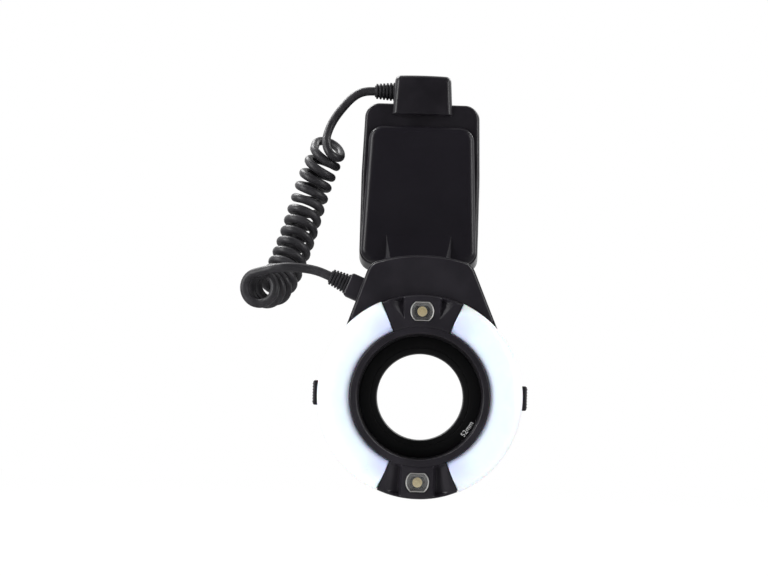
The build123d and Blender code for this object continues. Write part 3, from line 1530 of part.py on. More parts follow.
def lower_route(edges):
    """Route from the coil's end to the head's strain relief."""
    start = edges[-1] @ 1
    direction = edges[-1] % 1
    end = plug_point(PLUG_L + RELIEF_L)
    first = [start, start + direction * LOWER_RUN]
    last = [end + plug_direction() * LOWER_RUN, end]
    return first + [Vector(*p) for p in LOWER_MIDDLE] + last


def curly_cord(edges):
    """The curly part as one faceted tube swept along its centreline."""
    path = Wire(edges)
    start_tangent = Vector(*COIL_ROUTE[0]) - Vector(*UPPER_ROUTE[-1])
    section = Plane(origin=UPPER_ROUTE[-1], z_dir=start_tangent) * RegularPolygon(CORD_R, CORD_SIDES)
    return sweep(section, path=path, clean=False)


def save(name, shape):
    """Write one node; a list is a group of separate solids in one node."""
    if isinstance(shape, list):
        shape = Compound(children=shape)
    export_step(shape, os.path.join("parts", name + ".step"))


def save_unit():
    save("unit_front_shell", unit_front_shell())
    save("unit_rear_shell", unit_rear_shell())
    save("front_panel", front_panel())
    save("ramp_strips", ramp_strips())
    save("connector_housing", connector_housing())
    save("top_strain_relief", top_strain_relief())
    save("battery_bay", battery_bay())
    save("battery_cells", battery_cells())
    save("bay_contacts", bay_contacts())
    save("battery_door", battery_door())
    save("door_contacts", door_contacts())
    save("door_pin", door_pin_bar(DOOR_PIN_R, 0))
    save("main_board", main_board())
    save("flash_capacitor", flash_capacitor())
    save("transformer", transformer())
    save("display_module", display_module())
    save("display_window", display_window())
    save("unit_screws", unit_screws())


def save_controls():
    names = ("mode", "light", "zoom", "minus", "select", "plus")
    for name, (x, z) in zip(names, button_places()):
        save(name + "_button", push_button(x, z, BUTTON_R))
    save("test_button", push_button(-BUTTON_PITCH_X, SWITCH_Z, TEST_R))
    save("power_switch", power_switch())
    save("pilot_lamp", pilot_lamp())
    save("foot", foot())
    save("shoe_contacts", shoe_contacts())
    save("lock_wheel", lock_wheel())
    save("clamp_plate", clamp_plate())
    save("lock_pin", lock_pin())


def save_head():
    save("head_rear_housing", head_rear_housing())
    save("head_front_bezel", head_front_bezel())
    save("hood_cover", hood_cover())
    save("head_board", head_board())
    save("head_screws", head_screws())
    save("head_plug_housing", head_plug_housing())
    save("head_strain_relief", head_strain_relief())
    save("lamp_rims", [lamp_rim(up) for up in (-1, 1)])
    for name, up in (("top", 1), ("bottom", -1)):
        save("lamp_lens_" + name, lamp_lens(up))
        save("lamp_led_" + name, lamp_led(up))
    for name, side in (("left", -1), ("right", 1)):
        save("diffuser_" + name, diffuser(side))
        save("reflector_" + name, reflector(side))
        save("flash_tube_" + name, flash_tube(side))
        save("latch_plate_" + name, latch_plate(side))
        save("release_button_" + name, release_button(side))
        save("latch_springs_" + name, latch_springs(side))
    save("adapter_ring", adapter_ring())


def save_cord():
    edges = curly_centreline()
    upper, upper_radii, upper_length = cord_tube(UPPER_ROUTE)
    lower, lower_radii, lower_length = cord_tube(lower_route(edges))
    coil_length = sum(edge.length for edge in edges)
    save("cord_upper_tail", upper)
    save("curly_cord", curly_cord(edges))
    save("cord_lower_tail", lower)
    print("upper tail radii", [round(r, 1) for r in upper_radii])
    print("lower tail radii", [round(r, 1) for r in lower_radii])
    print("cord lengths", round(upper_length), round(coil_length), round(lower_length))
    print("least gap between the coil's turns", round(least_self_gap(edges), 2))
    print("coil ends at", edges[-1] @ 1, "heading", edges[-1] % 1)


save_cord()
save_unit()
save_controls()
save_head()
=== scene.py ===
import json
import bmesh
import bpy
from math import asin, atan2, cos, hypot, pi, radians, sin, sqrt, tan
from mathutils import Matrix, Vector


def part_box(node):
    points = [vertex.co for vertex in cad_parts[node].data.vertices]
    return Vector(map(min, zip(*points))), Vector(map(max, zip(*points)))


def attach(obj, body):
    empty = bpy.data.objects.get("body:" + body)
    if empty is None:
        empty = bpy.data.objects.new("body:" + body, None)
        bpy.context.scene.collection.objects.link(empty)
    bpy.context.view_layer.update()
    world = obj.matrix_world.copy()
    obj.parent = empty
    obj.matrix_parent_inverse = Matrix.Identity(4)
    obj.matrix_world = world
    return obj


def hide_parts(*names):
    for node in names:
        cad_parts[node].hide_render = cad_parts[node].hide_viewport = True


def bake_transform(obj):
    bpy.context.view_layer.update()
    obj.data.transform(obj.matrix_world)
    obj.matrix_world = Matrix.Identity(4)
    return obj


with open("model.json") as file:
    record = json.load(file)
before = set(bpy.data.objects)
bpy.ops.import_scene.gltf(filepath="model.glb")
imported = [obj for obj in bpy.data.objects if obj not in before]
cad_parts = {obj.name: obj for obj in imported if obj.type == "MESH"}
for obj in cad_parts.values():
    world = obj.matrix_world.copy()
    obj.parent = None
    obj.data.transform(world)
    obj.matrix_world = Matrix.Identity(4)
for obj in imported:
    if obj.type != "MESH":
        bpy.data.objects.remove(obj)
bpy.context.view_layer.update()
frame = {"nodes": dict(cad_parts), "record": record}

MM = 0.001
LENS_X = 3.4
LENS_Z = -64.0
RING_R = 54.0
WELD_GAP = 0.00001


def shown(name, data):
    """A new object, linked to the scene."""
    made = bpy.data.objects.new(name, data)
    bpy.context.scene.collection.objects.link(made)
    return made


def worked_out(made):
    """The mesh of an object after its modifiers, or of a curve or a text."""
    seen = made.evaluated_get(bpy.context.evaluated_depsgraph_get())
    return bpy.data.meshes.new_from_object(seen)


def mesh_of(name, shell, weld=False):
    """A mesh from points in millimetres and faces, with the faces turned outward."""
    points, faces = shell
    mesh = bpy.data.meshes.new(name)
    mesh.from_pydata([Vector(p) * MM for p in points], [], faces)
    work = bmesh.new()
    work.from_mesh(mesh)
    if weld:
        bmesh.ops.remove_doubles(work, verts=work.verts, dist=WELD_GAP)
    bmesh.ops.recalc_face_normals(work, faces=work.faces)
    work.to_mesh(mesh)
    work.free()
    return mesh


# Camera at the photograph's place: level, looking along the lens axis, with a slight roll

PHOTO_W = 768
FOCAL_PIXELS = 1181
SHIFT_PIXELS = (-35.8, 109)
CAMERA_Y = -708
CAMERA_ROLL = 1.7
SENSOR_W = 36.0


def place_camera():
    camera = bpy.data.cameras.new("photo_camera")
    camera.sensor_width = SENSOR_W
    camera.lens = SENSOR_W * FOCAL_PIXELS / PHOTO_W
    camera.shift_x, camera.shift_y = (pixels / PHOTO_W for pixels in SHIFT_PIXELS)
    camera.clip_start = 0.01
    camera.clip_end = 50
    holder = shown("photo_camera", camera)
    roll = radians(CAMERA_ROLL)
    across = Vector((cos(roll), 0, sin(roll)))
    up = Vector((-sin(roll), 0, cos(roll)))
    back = Vector((0, -1, 0))
    turned = Matrix((across, up, back)).transposed()
    holder.matrix_world = Matrix.Translation(Vector((LENS_X, CAMERA_Y, LENS_Z)) * MM) @ turned.to_4x4()
    bpy.context.scene.camera = holder


# Shader maths


def arithmetic(operation, reflected=False):
    """A method that adds the Math node of an operator, or of its reflected form."""

    def apply(self, other):
        pair = (other, self) if reflected else (self, other)
        return self.nodes.maths(operation, *pair)

    return apply


class Signal:
    """A value in a finish's nodes, with plain arithmetic."""

    def __init__(self, nodes, socket):
        self.nodes = nodes
        self.socket = socket

    __add__, __radd__ = arithmetic("ADD"), arithmetic("ADD", True)
    __sub__, __rsub__ = arithmetic("SUBTRACT"), arithmetic("SUBTRACT", True)
    __mul__, __rmul__ = arithmetic("MULTIPLY"), arithmetic("MULTIPLY", True)
    __truediv__ = arithmetic("DIVIDE")


RAY_KINDS = ("Camera", "Glossy", "Transmission")


class Nodes:
    """A node tree, and the one way that nodes are added to it."""

    def __init__(self, tree):
        self.tree = tree

    def maths(self, operation, first, second):
        return self.node("Math", {"operation": operation}, {0: first, 1: second})

    def node(self, kind, settings, values, output=0):
        made = self.tree.nodes.new("ShaderNode" + kind)
        for key, value in settings.items():
            if key == "stops":
                while len(made.color_ramp.elements) < len(value):
                    made.color_ramp.elements.new(0.5)
                for element, (position, colour) in zip(made.color_ramp.elements, value):
                    element.position = position
                    element.color = (*colour, 1)
            else:
                setattr(made, key, value)
        for key, value in values.items():
            if isinstance(value, Signal):
                self.tree.links.new(value.socket, made.inputs[key])
            else:
                made.inputs[key].default_value = value
        return Signal(self, made.outputs[output])

    def step(self, value, low, high):
        """A smooth step from 0 to 1 between two values."""
        values = {"Value": value, "From Min": low, "From Max": high}
        return self.node("MapRange", {"interpolation_type": "SMOOTHSTEP"}, values)

    def split(self, vector):
        made = self.node("SeparateXYZ", {}, {"Vector": vector}).socket.node
        return [Signal(self, made.outputs[i]) for i in range(3)]

    def rays(self):
        """Signals that are 1 for camera, glossy and transmission rays."""
        path = self.node("LightPath", {}, {}).socket.node
        return [Signal(self, path.outputs[f"Is {kind} Ray"]) for kind in RAY_KINDS]


class Finish(Nodes):
    """One material with a Principled shader."""

    def __init__(self, name):
        self.material = bpy.data.materials.new(name)
        self.material.use_nodes = True
        super().__init__(self.material.node_tree)
        self.shader = self.tree.nodes["Principled BSDF"]
        self.place = self.node("TexCoord", {}, {}, "Object")

    def plain(self, values):
        """Set the shader's sockets, by name, to values that are the same all over."""
        for socket, value in values.items():
            self.shader.inputs[socket].default_value = value

    def specular(self, level):
        self.plain({"Specular IOR Level": level})

    def feed(self, socket, signal):
        self.tree.links.new(signal.socket, self.shader.inputs[socket])

    def rough(self, signal):
        self.feed("Roughness", signal)

    def noise(self, scale, detail=2.0, rough=0.5):
        """Even noise from 0 to 1, with scale in cycles a metre."""
        values = {"Vector": self.place, "Scale": scale, "Detail": detail, "Roughness": rough}
        return self.node("TexNoise", {}, values)

    def cells(self, scale):
        return self.node("TexVoronoi", {}, {"Vector": self.place, "Scale": scale}, "Distance")

    def mix(self, factor, first, second):
        """Colours mixed by a factor."""
        values = {"Factor": factor, 6: self.opaque(first), 7: self.opaque(second)}
        return self.node("Mix", {"data_type": "RGBA"}, values, 2)

    def paint(self, factor, first, second):
        """Give the base colour as two colours mixed by a factor."""
        self.feed("Base Color", self.mix(factor, first, second))

    def opaque(self, colour):
        return colour if isinstance(colour, Signal) else (*colour, 1)

    def single(self, operation, value):
        return self.node("Math", {"operation": operation}, {0: value})

    def root(self, value):
        return self.single("SQRT", value)

    def size(self, value):
        return self.single("ABSOLUTE", value)

    def wave(self, value):
        return self.single("SINE", value)

    def bump(self, height, depth, strength):
        values = {"Height": height, "Distance": depth * MM, "Strength": strength}
        self.feed("Normal", self.node("Bump", {}, values))

    def lens_radius(self):
        """Distance from the lens axis, in millimetres."""
        x, _, z = self.split(self.place)
        dx = x * 1000 - LENS_X
        dz = z * 1000 - LENS_Z
        return self.root(dx * dx + dz * dz)


def moulded(finish, colour, roughness, grain, specular=0.3, dust=0.06):
    """Moulded plastic: a fine spark-eroded grain, slight mottling, and faint dust."""
    finish.specular(specular)
    mottle = finish.noise(55, 3)
    specks = finish.step(finish.noise(2600, 1), 0.70, 0.78)
    lighter = tuple(min(1, c * 1.35 + 0.002) for c in colour)
    dusty = tuple(c + dust for c in colour)
    shade = finish.mix(finish.step(mottle, 0.3, 0.7), colour, lighter)
    finish.paint(specks * 0.35, shade, dusty)
    rub = finish.noise(190, 4, 0.6)
    finish.rough(roughness + (rub - 0.5) * 0.08 + (finish.noise(2100) - 0.5) * 0.08)
    pits = finish.cells(2300) * 0.7 + finish.noise(4200, 2) * 0.6
    finish.bump(pits, 0.05, grain)


def rubber(finish, colour, roughness):
    """Soft cord and boot rubber, with a fine skin and a bloom that dulls it in places."""
    finish.specular(0.35)
    bloom = finish.step(finish.noise(120, 4, 0.6), 0.35, 0.75)
    finish.paint(bloom, colour, tuple(c * 1.7 + 0.004 for c in colour))
    finish.rough(roughness + bloom * 0.12 + (finish.noise(1500) - 0.5) * 0.12)
    finish.bump(finish.noise(1900, 3, 0.6) + finish.cells(900) * 0.3, 0.06, 0.35)


def satin_panel(finish):
    """The panel's smoother face, between gloss and matt, with hairline scuffs."""
    finish.specular(0.3)
    cloud = finish.noise(38, 3)
    finish.paint(cloud, (0.0076, 0.0064, 0.0096), (0.0110, 0.0096, 0.0136))
    x = finish.split(finish.place)[0]
    scuff = finish.step(finish.wave(x * 5200 + finish.noise(300, 4) * 26), 0.96, 1.0)
    worn = finish.step(finish.noise(70, 3), 0.52, 0.7)
    finish.rough(0.29 + cloud * 0.08 - scuff * worn * 0.06)
    finish.bump(finish.noise(3600, 2) + finish.cells(1700) * 0.3, 0.03, 0.16)


def diffuser_white(finish):
    """Milky cover with painted light: white on the lit outer part, cyan-white on the dome, and painted
    shade in lavender at the inner edge and ends.
    """
    finish.plain({"Specular IOR Level": 0.45, "Coat Weight": 0.15, "Coat Roughness": 0.1})
    finish.plain({"Subsurface Weight": 0.25, "Subsurface Scale": 0.004})
    z = finish.split(finish.place)[2]
    radius = finish.lens_radius()
    inward = (RING_R - radius) / 17.0
    # Painted light by radius: a little darker on the rolled rim, white where the outer part is lit,
    # cyan-white on the dome, painted lavender shade at the inner edge
    stops = [(0.0, (0.78, 0.82, 0.84)), (0.10, (0.88, 0.94, 0.95)), (0.5, (0.82, 0.95, 0.97))]
    stops += [(0.80, (0.78, 0.88, 0.96)), (0.97, (0.70, 0.74, 0.90))]
    across = finish.node("ValToRGB", {"stops": stops}, {"Fac": inward})
    height = finish.size(z * 1000 - LENS_Z) / radius
    # Painted shade in lavender toward the ends of each cover, mixed over the radial colours
    ends = finish.step(height, 0.70, 0.92) * finish.step(inward, -0.05, 0.75)
    prisms = finish.wave(radius * 9.4) * 0.5 + 0.5
    cloudy = finish.noise(60, 2)
    painted_light_and_shade = finish.mix(ends * 0.9, across, (0.62, 0.66, 0.93))
    finish.paint(prisms * 0.04 + cloudy * 0.04, painted_light_and_shade, (0.80, 0.84, 0.95))
    finish.rough(0.22 + cloudy * 0.1 + finish.noise(900) * 0.06)
    finish.bump(prisms * 0.4 + finish.noise(700, 2) * 0.3, 0.03, 0.12)


def anodised(finish):
    """Turned black alloy: fine rings from the tool, with bare wear where it is handled."""
    finish.specular(0.4)
    radius = finish.lens_radius()
    rings = finish.wave(radius * 21.0 + finish.noise(30) * 3)
    worn = finish.step(finish.noise(150, 5, 0.65), 0.62, 0.78)
    finish.paint(worn * 0.35, (0.006, 0.006, 0.007), (0.03, 0.03, 0.032))
    finish.rough(0.42 + rings * 0.05 + (finish.noise(700) - 0.5) * 0.12)
    finish.feed("Metallic", 0.25 + worn * 0.3)
    finish.bump(rings * 0.6 + finish.noise(3000) * 0.3, 0.02, 0.25)


def bright_metal(finish, colour, roughness, brushed):
    """Steel, plating or foil with fine brushing along X."""
    finish.plain({"Metallic": 1.0})
    z = finish.split(finish.place)[2]
    lines = finish.noise(900, 4, 0.7) * (1 - brushed)
    hair = finish.wave(z * 21000 + finish.noise(400, 3) * 9) * brushed
    tarnish = finish.step(finish.noise(210, 4), 0.45, 0.8)
    finish.paint(tarnish * 0.4, colour, tuple(c * 0.6 for c in colour))
    finish.rough(roughness + tarnish * 0.14 + hair * 0.04)
    finish.bump(lines + hair * 0.3, 0.02, 0.2)


def clear(finish, colour, roughness, through=0.9):
    """Glass or clear plastic, with faint smears."""
    finish.plain({"Transmission Weight": through, "IOR": 1.46})
    smear = finish.step(finish.noise(160, 4), 0.5, 0.75)
    finish.paint(smear, colour, tuple(c * 0.92 for c in colour))
    finish.rough(roughness + smear * 0.06)
    finish.bump(finish.noise(500, 2), 0.02, 0.08)


def display_cover(finish):
    """Clear window over the display: glossy, with faint fingerprints."""
    finish.plain({"Specular IOR Level": 0.5, "Transmission Weight": 0.85, "IOR": 1.45})
    smear = finish.step(finish.noise(230, 5, 0.6), 0.5, 0.72)
    finish.paint(smear, (0.78, 0.82, 0.80), (0.66, 0.70, 0.70))
    finish.rough(0.03 + smear * 0.08)


def display_face(finish):
    """Grey-green liquid crystal face with its fine dot rows."""
    finish.specular(0.4)
    x, _, z = finish.split(finish.place)
    dots = finish.wave(x * 9000) * finish.wave(z * 9000)
    grid = finish.step(dots, 0.1, 0.7)
    uneven = finish.noise(45, 2)
    face = finish.mix(uneven, (0.27, 0.32, 0.25), (0.34, 0.38, 0.30))
    finish.paint(grid * 0.18, face, (0.20, 0.24, 0.19))
    finish.rough(0.3 + uneven * 0.1)
    finish.bump(dots, 0.01, 0.1)


def phosphor(finish):
    """Yellow lamp emitter with its grain, under a clear coat."""
    finish.plain({"Specular IOR Level": 0.5, "Coat Weight": 0.7, "Coat Roughness": 0.06})
    grain = finish.noise(2400, 3, 0.7)
    finish.paint(grain, (0.88, 0.68, 0.32), (0.98, 0.85, 0.52))
    finish.rough(0.35 + grain * 0.2)
    finish.bump(grain, 0.03, 0.4)


def laminate(finish):
    """Circuit board: green mask over copper tracks."""
    finish.specular(0.45)
    x, _, z = finish.split(finish.place)
    tracks = finish.step(finish.wave(x * 2400 + finish.wave(z * 500) * 2), 0.7, 0.85)
    finish.paint(tracks, (0.012, 0.085, 0.035), (0.03, 0.16, 0.06))
    finish.rough(0.35 + finish.noise(600) * 0.15)
    finish.bump(tracks + finish.noise(2500) * 0.2, 0.03, 0.4)


def wound(finish):
    """Enamelled copper wire, turn beside turn, under tape, with painted shade between the turns and a
    painted highlight on their crests.
    """
    finish.plain({"Specular IOR Level": 0.5, "Metallic": 0.3})
    z = finish.split(finish.place)[2]
    turns = finish.wave(z * 11000)
    # Painted shade and highlight: dark copper in the grooves between turns, light copper on each crest
    finish.paint(finish.step(turns, -0.4, 0.7), (0.10, 0.035, 0.012), (0.42, 0.17, 0.05))
    finish.rough(0.35 + finish.noise(500) * 0.15)
    finish.bump(turns, 0.08, 0.5)


def printed(finish, colour):
    """Pad-printed ink, slightly broken at the grain."""
    finish.specular(0.3)
    broken = finish.step(finish.noise(3200, 2), 0.62, 0.8)
    finish.paint(broken, colour, tuple(c * 0.55 for c in colour))
    finish.rough(0.55 + broken * 0.2)
    finish.bump(finish.noise(3000), 0.01, 0.2)


def floor_white(finish):
    """Pale floor that melts into the backdrop and keeps the object's shadow."""
    finish.plain({"Specular IOR Level": 0.1, "Roughness": 0.9})
    camera, glossy, through = finish.rays()
    white = finish.mix(finish.noise(4, 2), (0.90, 0.90, 0.90), (0.92, 0.92, 0.92))
    finish.paint(glossy * 0.85, white, (0.05, 0.05, 0.05))
    x, y, _ = finish.split(finish.place)
    mirrored = glossy * (0.05 + 0.5 * finish.step(y, 2.5, 6.0))
    seen = finish.maths("MAXIMUM", finish.maths("MAXIMUM", camera, mirrored), through)
    pale = finish.node("Emission", {}, {"Color": (1, 1, 1, 1), "Strength": 1.0})
    body = Signal(finish, finish.shader.outputs[0])
    away = finish.root(x * x + y * y)
    share = seen * (0.86 + 0.14 * finish.step(away, 0.3, 1.3))
    both = finish.node("MixShader", {}, {0: share, 1: body, 2: pale})
    output = finish.tree.nodes["Material Output"]
    finish.tree.links.new(both.socket, output.inputs["Surface"])


LOOKS = {
    "black_plastic": (moulded, (0.0080, 0.0070, 0.0094), 0.31, 0.2, 0.3, 0.03),
    "head_plastic": (moulded, (0.0128, 0.0114, 0.0150), 0.32, 0.18, 0.3, 0.03),
    "satin_panel": (satin_panel,),
    # The ramp strips: partly their own grey, partly a painted highlight that keeps them lighter than
    # the panel
    "ramp_grey_and_painted_sheen": (moulded, (0.022, 0.021, 0.024), 0.3, 0.15, 0.5, 0.03),
    "grey_strip": (moulded, (0.30, 0.30, 0.32), 0.4, 0.2, 0.4),
    "black_rubber": (rubber, (0.0180, 0.0172, 0.0198), 0.38),
    "clear_window": (display_cover,),
    "display_glass": (display_face,),
    "key_plastic": (moulded, (0.035, 0.035, 0.038), 0.45, 0.3, 0.35),
    "foot_metal": (bright_metal, (0.50, 0.50, 0.51), 0.28, 0.8),
    "contact_gold": (bright_metal, (0.82, 0.62, 0.28), 0.2, 0.1),
    "screw_steel": (bright_metal, (0.10, 0.10, 0.105), 0.35, 0.3),
    "spring_steel": (bright_metal, (0.62, 0.62, 0.64), 0.22, 0.2),
    "board": (laminate,),
    "capacitor_sleeve": (moulded, (0.012, 0.013, 0.02), 0.25, 0.1, 0.5),
    "winding": (wound,),
    "cell_jacket": (bright_metal, (0.22, 0.23, 0.27), 0.3, 0.1),
    "diffuser_white": (diffuser_white,),
    "reflector": (bright_metal, (0.86, 0.86, 0.88), 0.18, 0.3),
    "tube_glass": (clear, (0.93, 0.95, 0.98), 0.04),
    "cup_grey": (bright_metal, (0.15, 0.15, 0.155), 0.45, 0.1),
    "lamp_lens": (clear, (0.97, 0.97, 0.95), 0.04, 0.98),
    "lamp_rim": (bright_metal, (0.92, 0.91, 0.89), 0.5, 0.0),
    "emitter": (phosphor,),
    "adapter_alloy": (anodised,),
    "pilot_red": (clear, (0.75, 0.06, 0.03), 0.1),
    "white_print": (printed, (0.96, 0.96, 0.96)),
    "dark_print": (printed, (0.02, 0.025, 0.02)),
}


def finished(name, maker, *values):
    """A material, given its look by one of the makers above."""
    finish = Finish(name)
    maker(finish, *values)
    return finish.material


FINISHES = {name: finished(name, *look) for name, look in LOOKS.items()}


# Shapes, in millimetres


def soft_corners(corners, steps=5):
    """A closed outline whose corners (x, y, radius) are rounded."""
    outline = []
    for i, (x, y, radius) in enumerate(corners):
        here = Vector((x, y))
        before = (Vector(corners[i - 1][:2]) - here).normalized()
        after = (Vector(corners[(i + 1) % len(corners)][:2]) - here).normalized()
        if radius == 0:
            outline.append((x, y))
            continue
        half = before.angle(after) / 2
        away = radius / tan(half)
        middle = here + (before + after).normalized() * (radius / sin(half))
        start = here + before * away - middle
        turn = start.angle_signed(here + after * away - middle)
        for k in range(steps + 1):
            angle = -turn * k / steps
            spun = Matrix.Rotation(angle, 2) @ start
            outline.append(tuple(middle + spun))
    return outline


def arc_points(start, middle, end, steps):
    """Points on the circle through three points, from the first to the last."""
    (ax, ay), (bx, by), (cx, cy) = start, middle, end
    d = 2 * (ax * (by - cy) + bx * (cy - ay) + cx * (ay - by))
    a, b, c = ax**2 + ay**2, bx**2 + by**2, cx**2 + cy**2
    ux = (a * (by - cy) + b * (cy - ay) + c * (ay - by)) / d
    uy = (a * (cx - bx) + b * (ax - cx) + c * (bx - ax)) / d
    first = atan2(ay - uy, ax - ux)
    via = atan2(by - uy, bx - ux)
    last = atan2(cy - uy, cx - ux)
    forward = (last - first) % (2 * pi)
    if (via - first) % (2 * pi) > forward:
        forward -= 2 * pi
    radius = hypot(ax - ux, ay - uy)
    angles = [first + forward * k / steps for k in range(steps + 1)]
    return [(ux + radius * cos(angle), uy + radius * sin(angle)) for angle in angles]


def skin(rings, ring_closed=True, path_closed=False):
    """Points and faces of a surface laid over rings of equal count."""
    count = len(rings[0])
    points = [p for ring in rings for p in ring]
    faces = []
    spans = len(rings) if path_closed else len(rings) - 1
    steps = count if ring_closed else count - 1
    for i in range(spans):
        near = i * count
        far = (i + 1) % len(rings) * count
        for k in range(steps):
            n = (k + 1) % count
            faces.append((near + k, near + n, far + n, far + k))
    if ring_closed and not path_closed:
        faces.append(tuple(range(count)))
        faces.append(tuple((len(rings) - 1) * count + k for k in range(count)))
    return points, faces


def joined(*shells):
    points, faces = [], []
    for more_points, more_faces in shells:
        base = len(points)
        points += more_points
        faces += [tuple(base + i for i in face) for face in more_faces]
    return points, faces


def solid(name, shell, finish, body, nodes=(), bevel=0.0, sharp=38):
    """A piece made of one shell, on a body, in place of its solids."""
    made = shown(name, mesh_of(name, shell, weld=True))
    if bevel:
        edge = made.modifiers.new("soft_edges", "BEVEL")
        edge.width = bevel * MM
        edge.segments = 3
        edge.limit_method = "ANGLE"
        edge.angle_limit = radians(40)
        settle(made)
    smooth(made, sharp)
    dress(made, finish, body, nodes)
    return made


def dress(made, finish, body, nodes=()):
    """Give a piece its finish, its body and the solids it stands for."""
    give_finish(made, finish)
    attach(made, body)
    if nodes:
        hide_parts(*nodes)


def give_finish(made, finish):
    made.data.materials.clear()
    made.data.materials.append(FINISHES[finish])


def settle(made):
    """Apply a piece's modifiers to its mesh."""
    settled = worked_out(made)
    made.modifiers.clear()
    made.data = settled


def smooth(made, sharp):
    made.data.polygons.foreach_set("use_smooth", [True] * len(made.data.polygons))
    made.data.set_sharp_from_angle(angle=radians(sharp))


def cut(made, shell):
    """Take a shell's room out of a piece."""
    tool = shown("room", mesh_of("room", shell))
    away = made.modifiers.new("room", "BOOLEAN")
    away.operation = "DIFFERENCE"
    away.solver = "EXACT"
    away.object = tool
    settle(made)
    bpy.data.objects.remove(tool)


def polar(radius, angle, y):
    """A point about the lens axis."""
    return (LENS_X + radius * cos(angle), y, LENS_Z + radius * sin(angle))


def around_lens(profile, start=0.0, sweep=360.0, steps=180, reach=None):
    """A profile of (radius, y) turned about the lens axis; reach alters each radius by angle."""
    rings = []
    whole = sweep == 360.0
    for i in range(steps if whole else steps + 1):
        angle = radians(start + sweep * i / steps)
        ring = []
        for radius, y in profile:
            r = reach(radius, y, i) if reach else radius
            ring.append(polar(r, angle, y))
        rings.append(ring)
    return skin(rings, path_closed=whole)


def bar(outline, low, high, place):
    """A closed outline carried between two depths; place turns (u, v, depth) into a point."""
    return skin([[place(u, v, depth) for u, v in outline] for depth in (low, high)])


def box(x, y, z):
    corners = [(x[0], z[0]), (x[1], z[0]), (x[1], z[1]), (x[0], z[1])]
    return bar(corners, y[0], y[1], lambda u, v, depth: (u, depth, v))


def round_outline(width, height, radius, steps=6):
    w, h = width / 2, height / 2
    return soft_corners([(w, -h, radius), (w, h, radius), (-w, h, radius), (-w, -h, radius)], steps)


def arc(angles, radius):
    return [(radius * cos(angle), radius * sin(angle)) for angle in angles]


def circle(radius, count):
    return arc([2 * pi * i / count for i in range(count)], radius)


def shrink(outline, inset):
    """An outline drawn inward by an even distance."""
    drawn = []
    count = len(outline)
    area = sum(
        outline[i][0] * outline[(i + 1) % count][1] - outline[(i + 1) % count][0] * outline[i][1]
        for i in range(count)
    )
    side = 1 if area > 0 else -1
    for i in range(count):
        a, b, c = Vector(outline[i - 1]), Vector(outline[i]), Vector(outline[(i + 1) % count])
        first, second = (b - a).normalized(), (c - b).normalized()
        normal = Vector((-first.y, first.x)) + Vector((-second.y, second.x))
        normal.normalize()
        grow = max(0.5, normal.dot(Vector((-first.y, first.x))))
        drawn.append(tuple(b + normal * (side * inset / grow)))
    return drawn


def rolled(depth, inset, rise, angles):
    """Levels of a rolled edge: an inset and a depth for each angle."""
    return [(inset * (1 - cos(a)), depth + rise * sin(a)) for a in angles]


def stack(outline, levels, place):
    """An outline stacked through levels of (inset, depth)."""
    return skin([[place(u, v, depth) for u, v in shrink(outline, inset)] for inset, depth in levels])


def upright(u, v, depth):
    return (u, depth, v)


def at(x, z):
    return lambda u, v, depth: (x + u, depth, z + v)


# Cord: straight tails and a curly part that opens into the upper tail

UPPER_ROUTE = [
    (-26.0, -6.0, 116.8), (-28.6, -6.0, 116.8), (-33.4, -6.0, 116.7),
    (-38.2, -6.0, 115.3), (-42.6, -6.0, 112.0), (-46.6, -6.1, 107.4),
    (-50.2, -6.5, 102.6), (-52.9, -7.3, 98.0), (-54.8, -9.0, 93.2),
    (-55.9, -11.6, 88.4), (-56.0, -14.8, 83.6), (-55.0, -17.4, 79.2),
    (-52.4, -18.4, 75.6), (-49.2, -15.4, 74.5), (-47.2, -8.6, 76.6),
    (-48.8, -1.4, 82.4), (-54.0, 1.4, 87.0), (-59.6, 0.2, 88.0),
    (-63.0, -3.9, 85.9),
]
COIL_AXIS = [
    (-55.9, -7.9, 78.2), (-59.0, -8.4, 71.0), (-62.2, -9.6, 62.0),
    (-65.9, -13.0, 47.6), (-68.8, -18.0, 34.0), (-71.9, -25.0, 20.5),
    (-75.8, -35.0, 5.5), (-80.8, -48.0, -8.2), (-87.2, -66.0, -7.2),
]
LOWER_ROUTE = [
    (-79.0, -71.2, 2.6), (-70.8, -71.8, 4.0), (-62.4, -71.4, 3.7),
    (-54.2, -71.0, 2.6), (-46.83, -71.0, -0.36), (-44.5, -71.0, -1.33),
]
CORD_R = 2.4
DRAWN_CORD_R = CORD_R + 0.08  # The photo's cord looks a little thicker than the solids'
COIL_R = 8.35
COIL_TURNS = 15
POINTS_PER_TURN = 16
TOP_LEAN, LEAN_FADES = 5.0, 30.0
# How far the turns nod toward the camera, in degrees, by distance along the coil's axis
NODS = [(0, 24.0), (27, 17.0), (35, 10.0), (48, 4.0), (62, 11.0), (80, 14.0), (116, 0.0), (200, 0.0)]
AXIS_FINENESS, CORD_FINENESS = 60, 6
CLOSE_POINTS = 0.2


def smooth_line(name, points, fineness):
    """A line through control points, as an order 3 spline that reaches both ends."""
    curve = bpy.data.curves.new(name, "CURVE")
    curve.dimensions = "3D"
    curve.resolution_u = fineness
    spline = curve.splines.new("NURBS")
    spline.points.add(len(points) - 1)
    for knot, point in zip(spline.points, points):
        knot.co = (*(Vector(point) * MM), 1)
    spline.order_u = 3
    spline.use_endpoint_u = True
    return shown(name, curve)


def read_line(name, points, fineness):
    """The points that a smooth line runs through, in millimetres."""
    line = smooth_line(name, points, fineness)
    mesh = worked_out(line)
    followed = [v.co / MM for v in mesh.vertices]
    bpy.data.objects.remove(line)
    bpy.data.meshes.remove(mesh)
    return followed


def between(stops, place):
    """The value at a place, read off straight lines through (place, value) stops."""
    for (near, low), (far, high) in zip(stops, stops[1:]):
        if place <= far:
            return low + (high - low) * (place - near) / (far - near)
    return stops[-1][1]


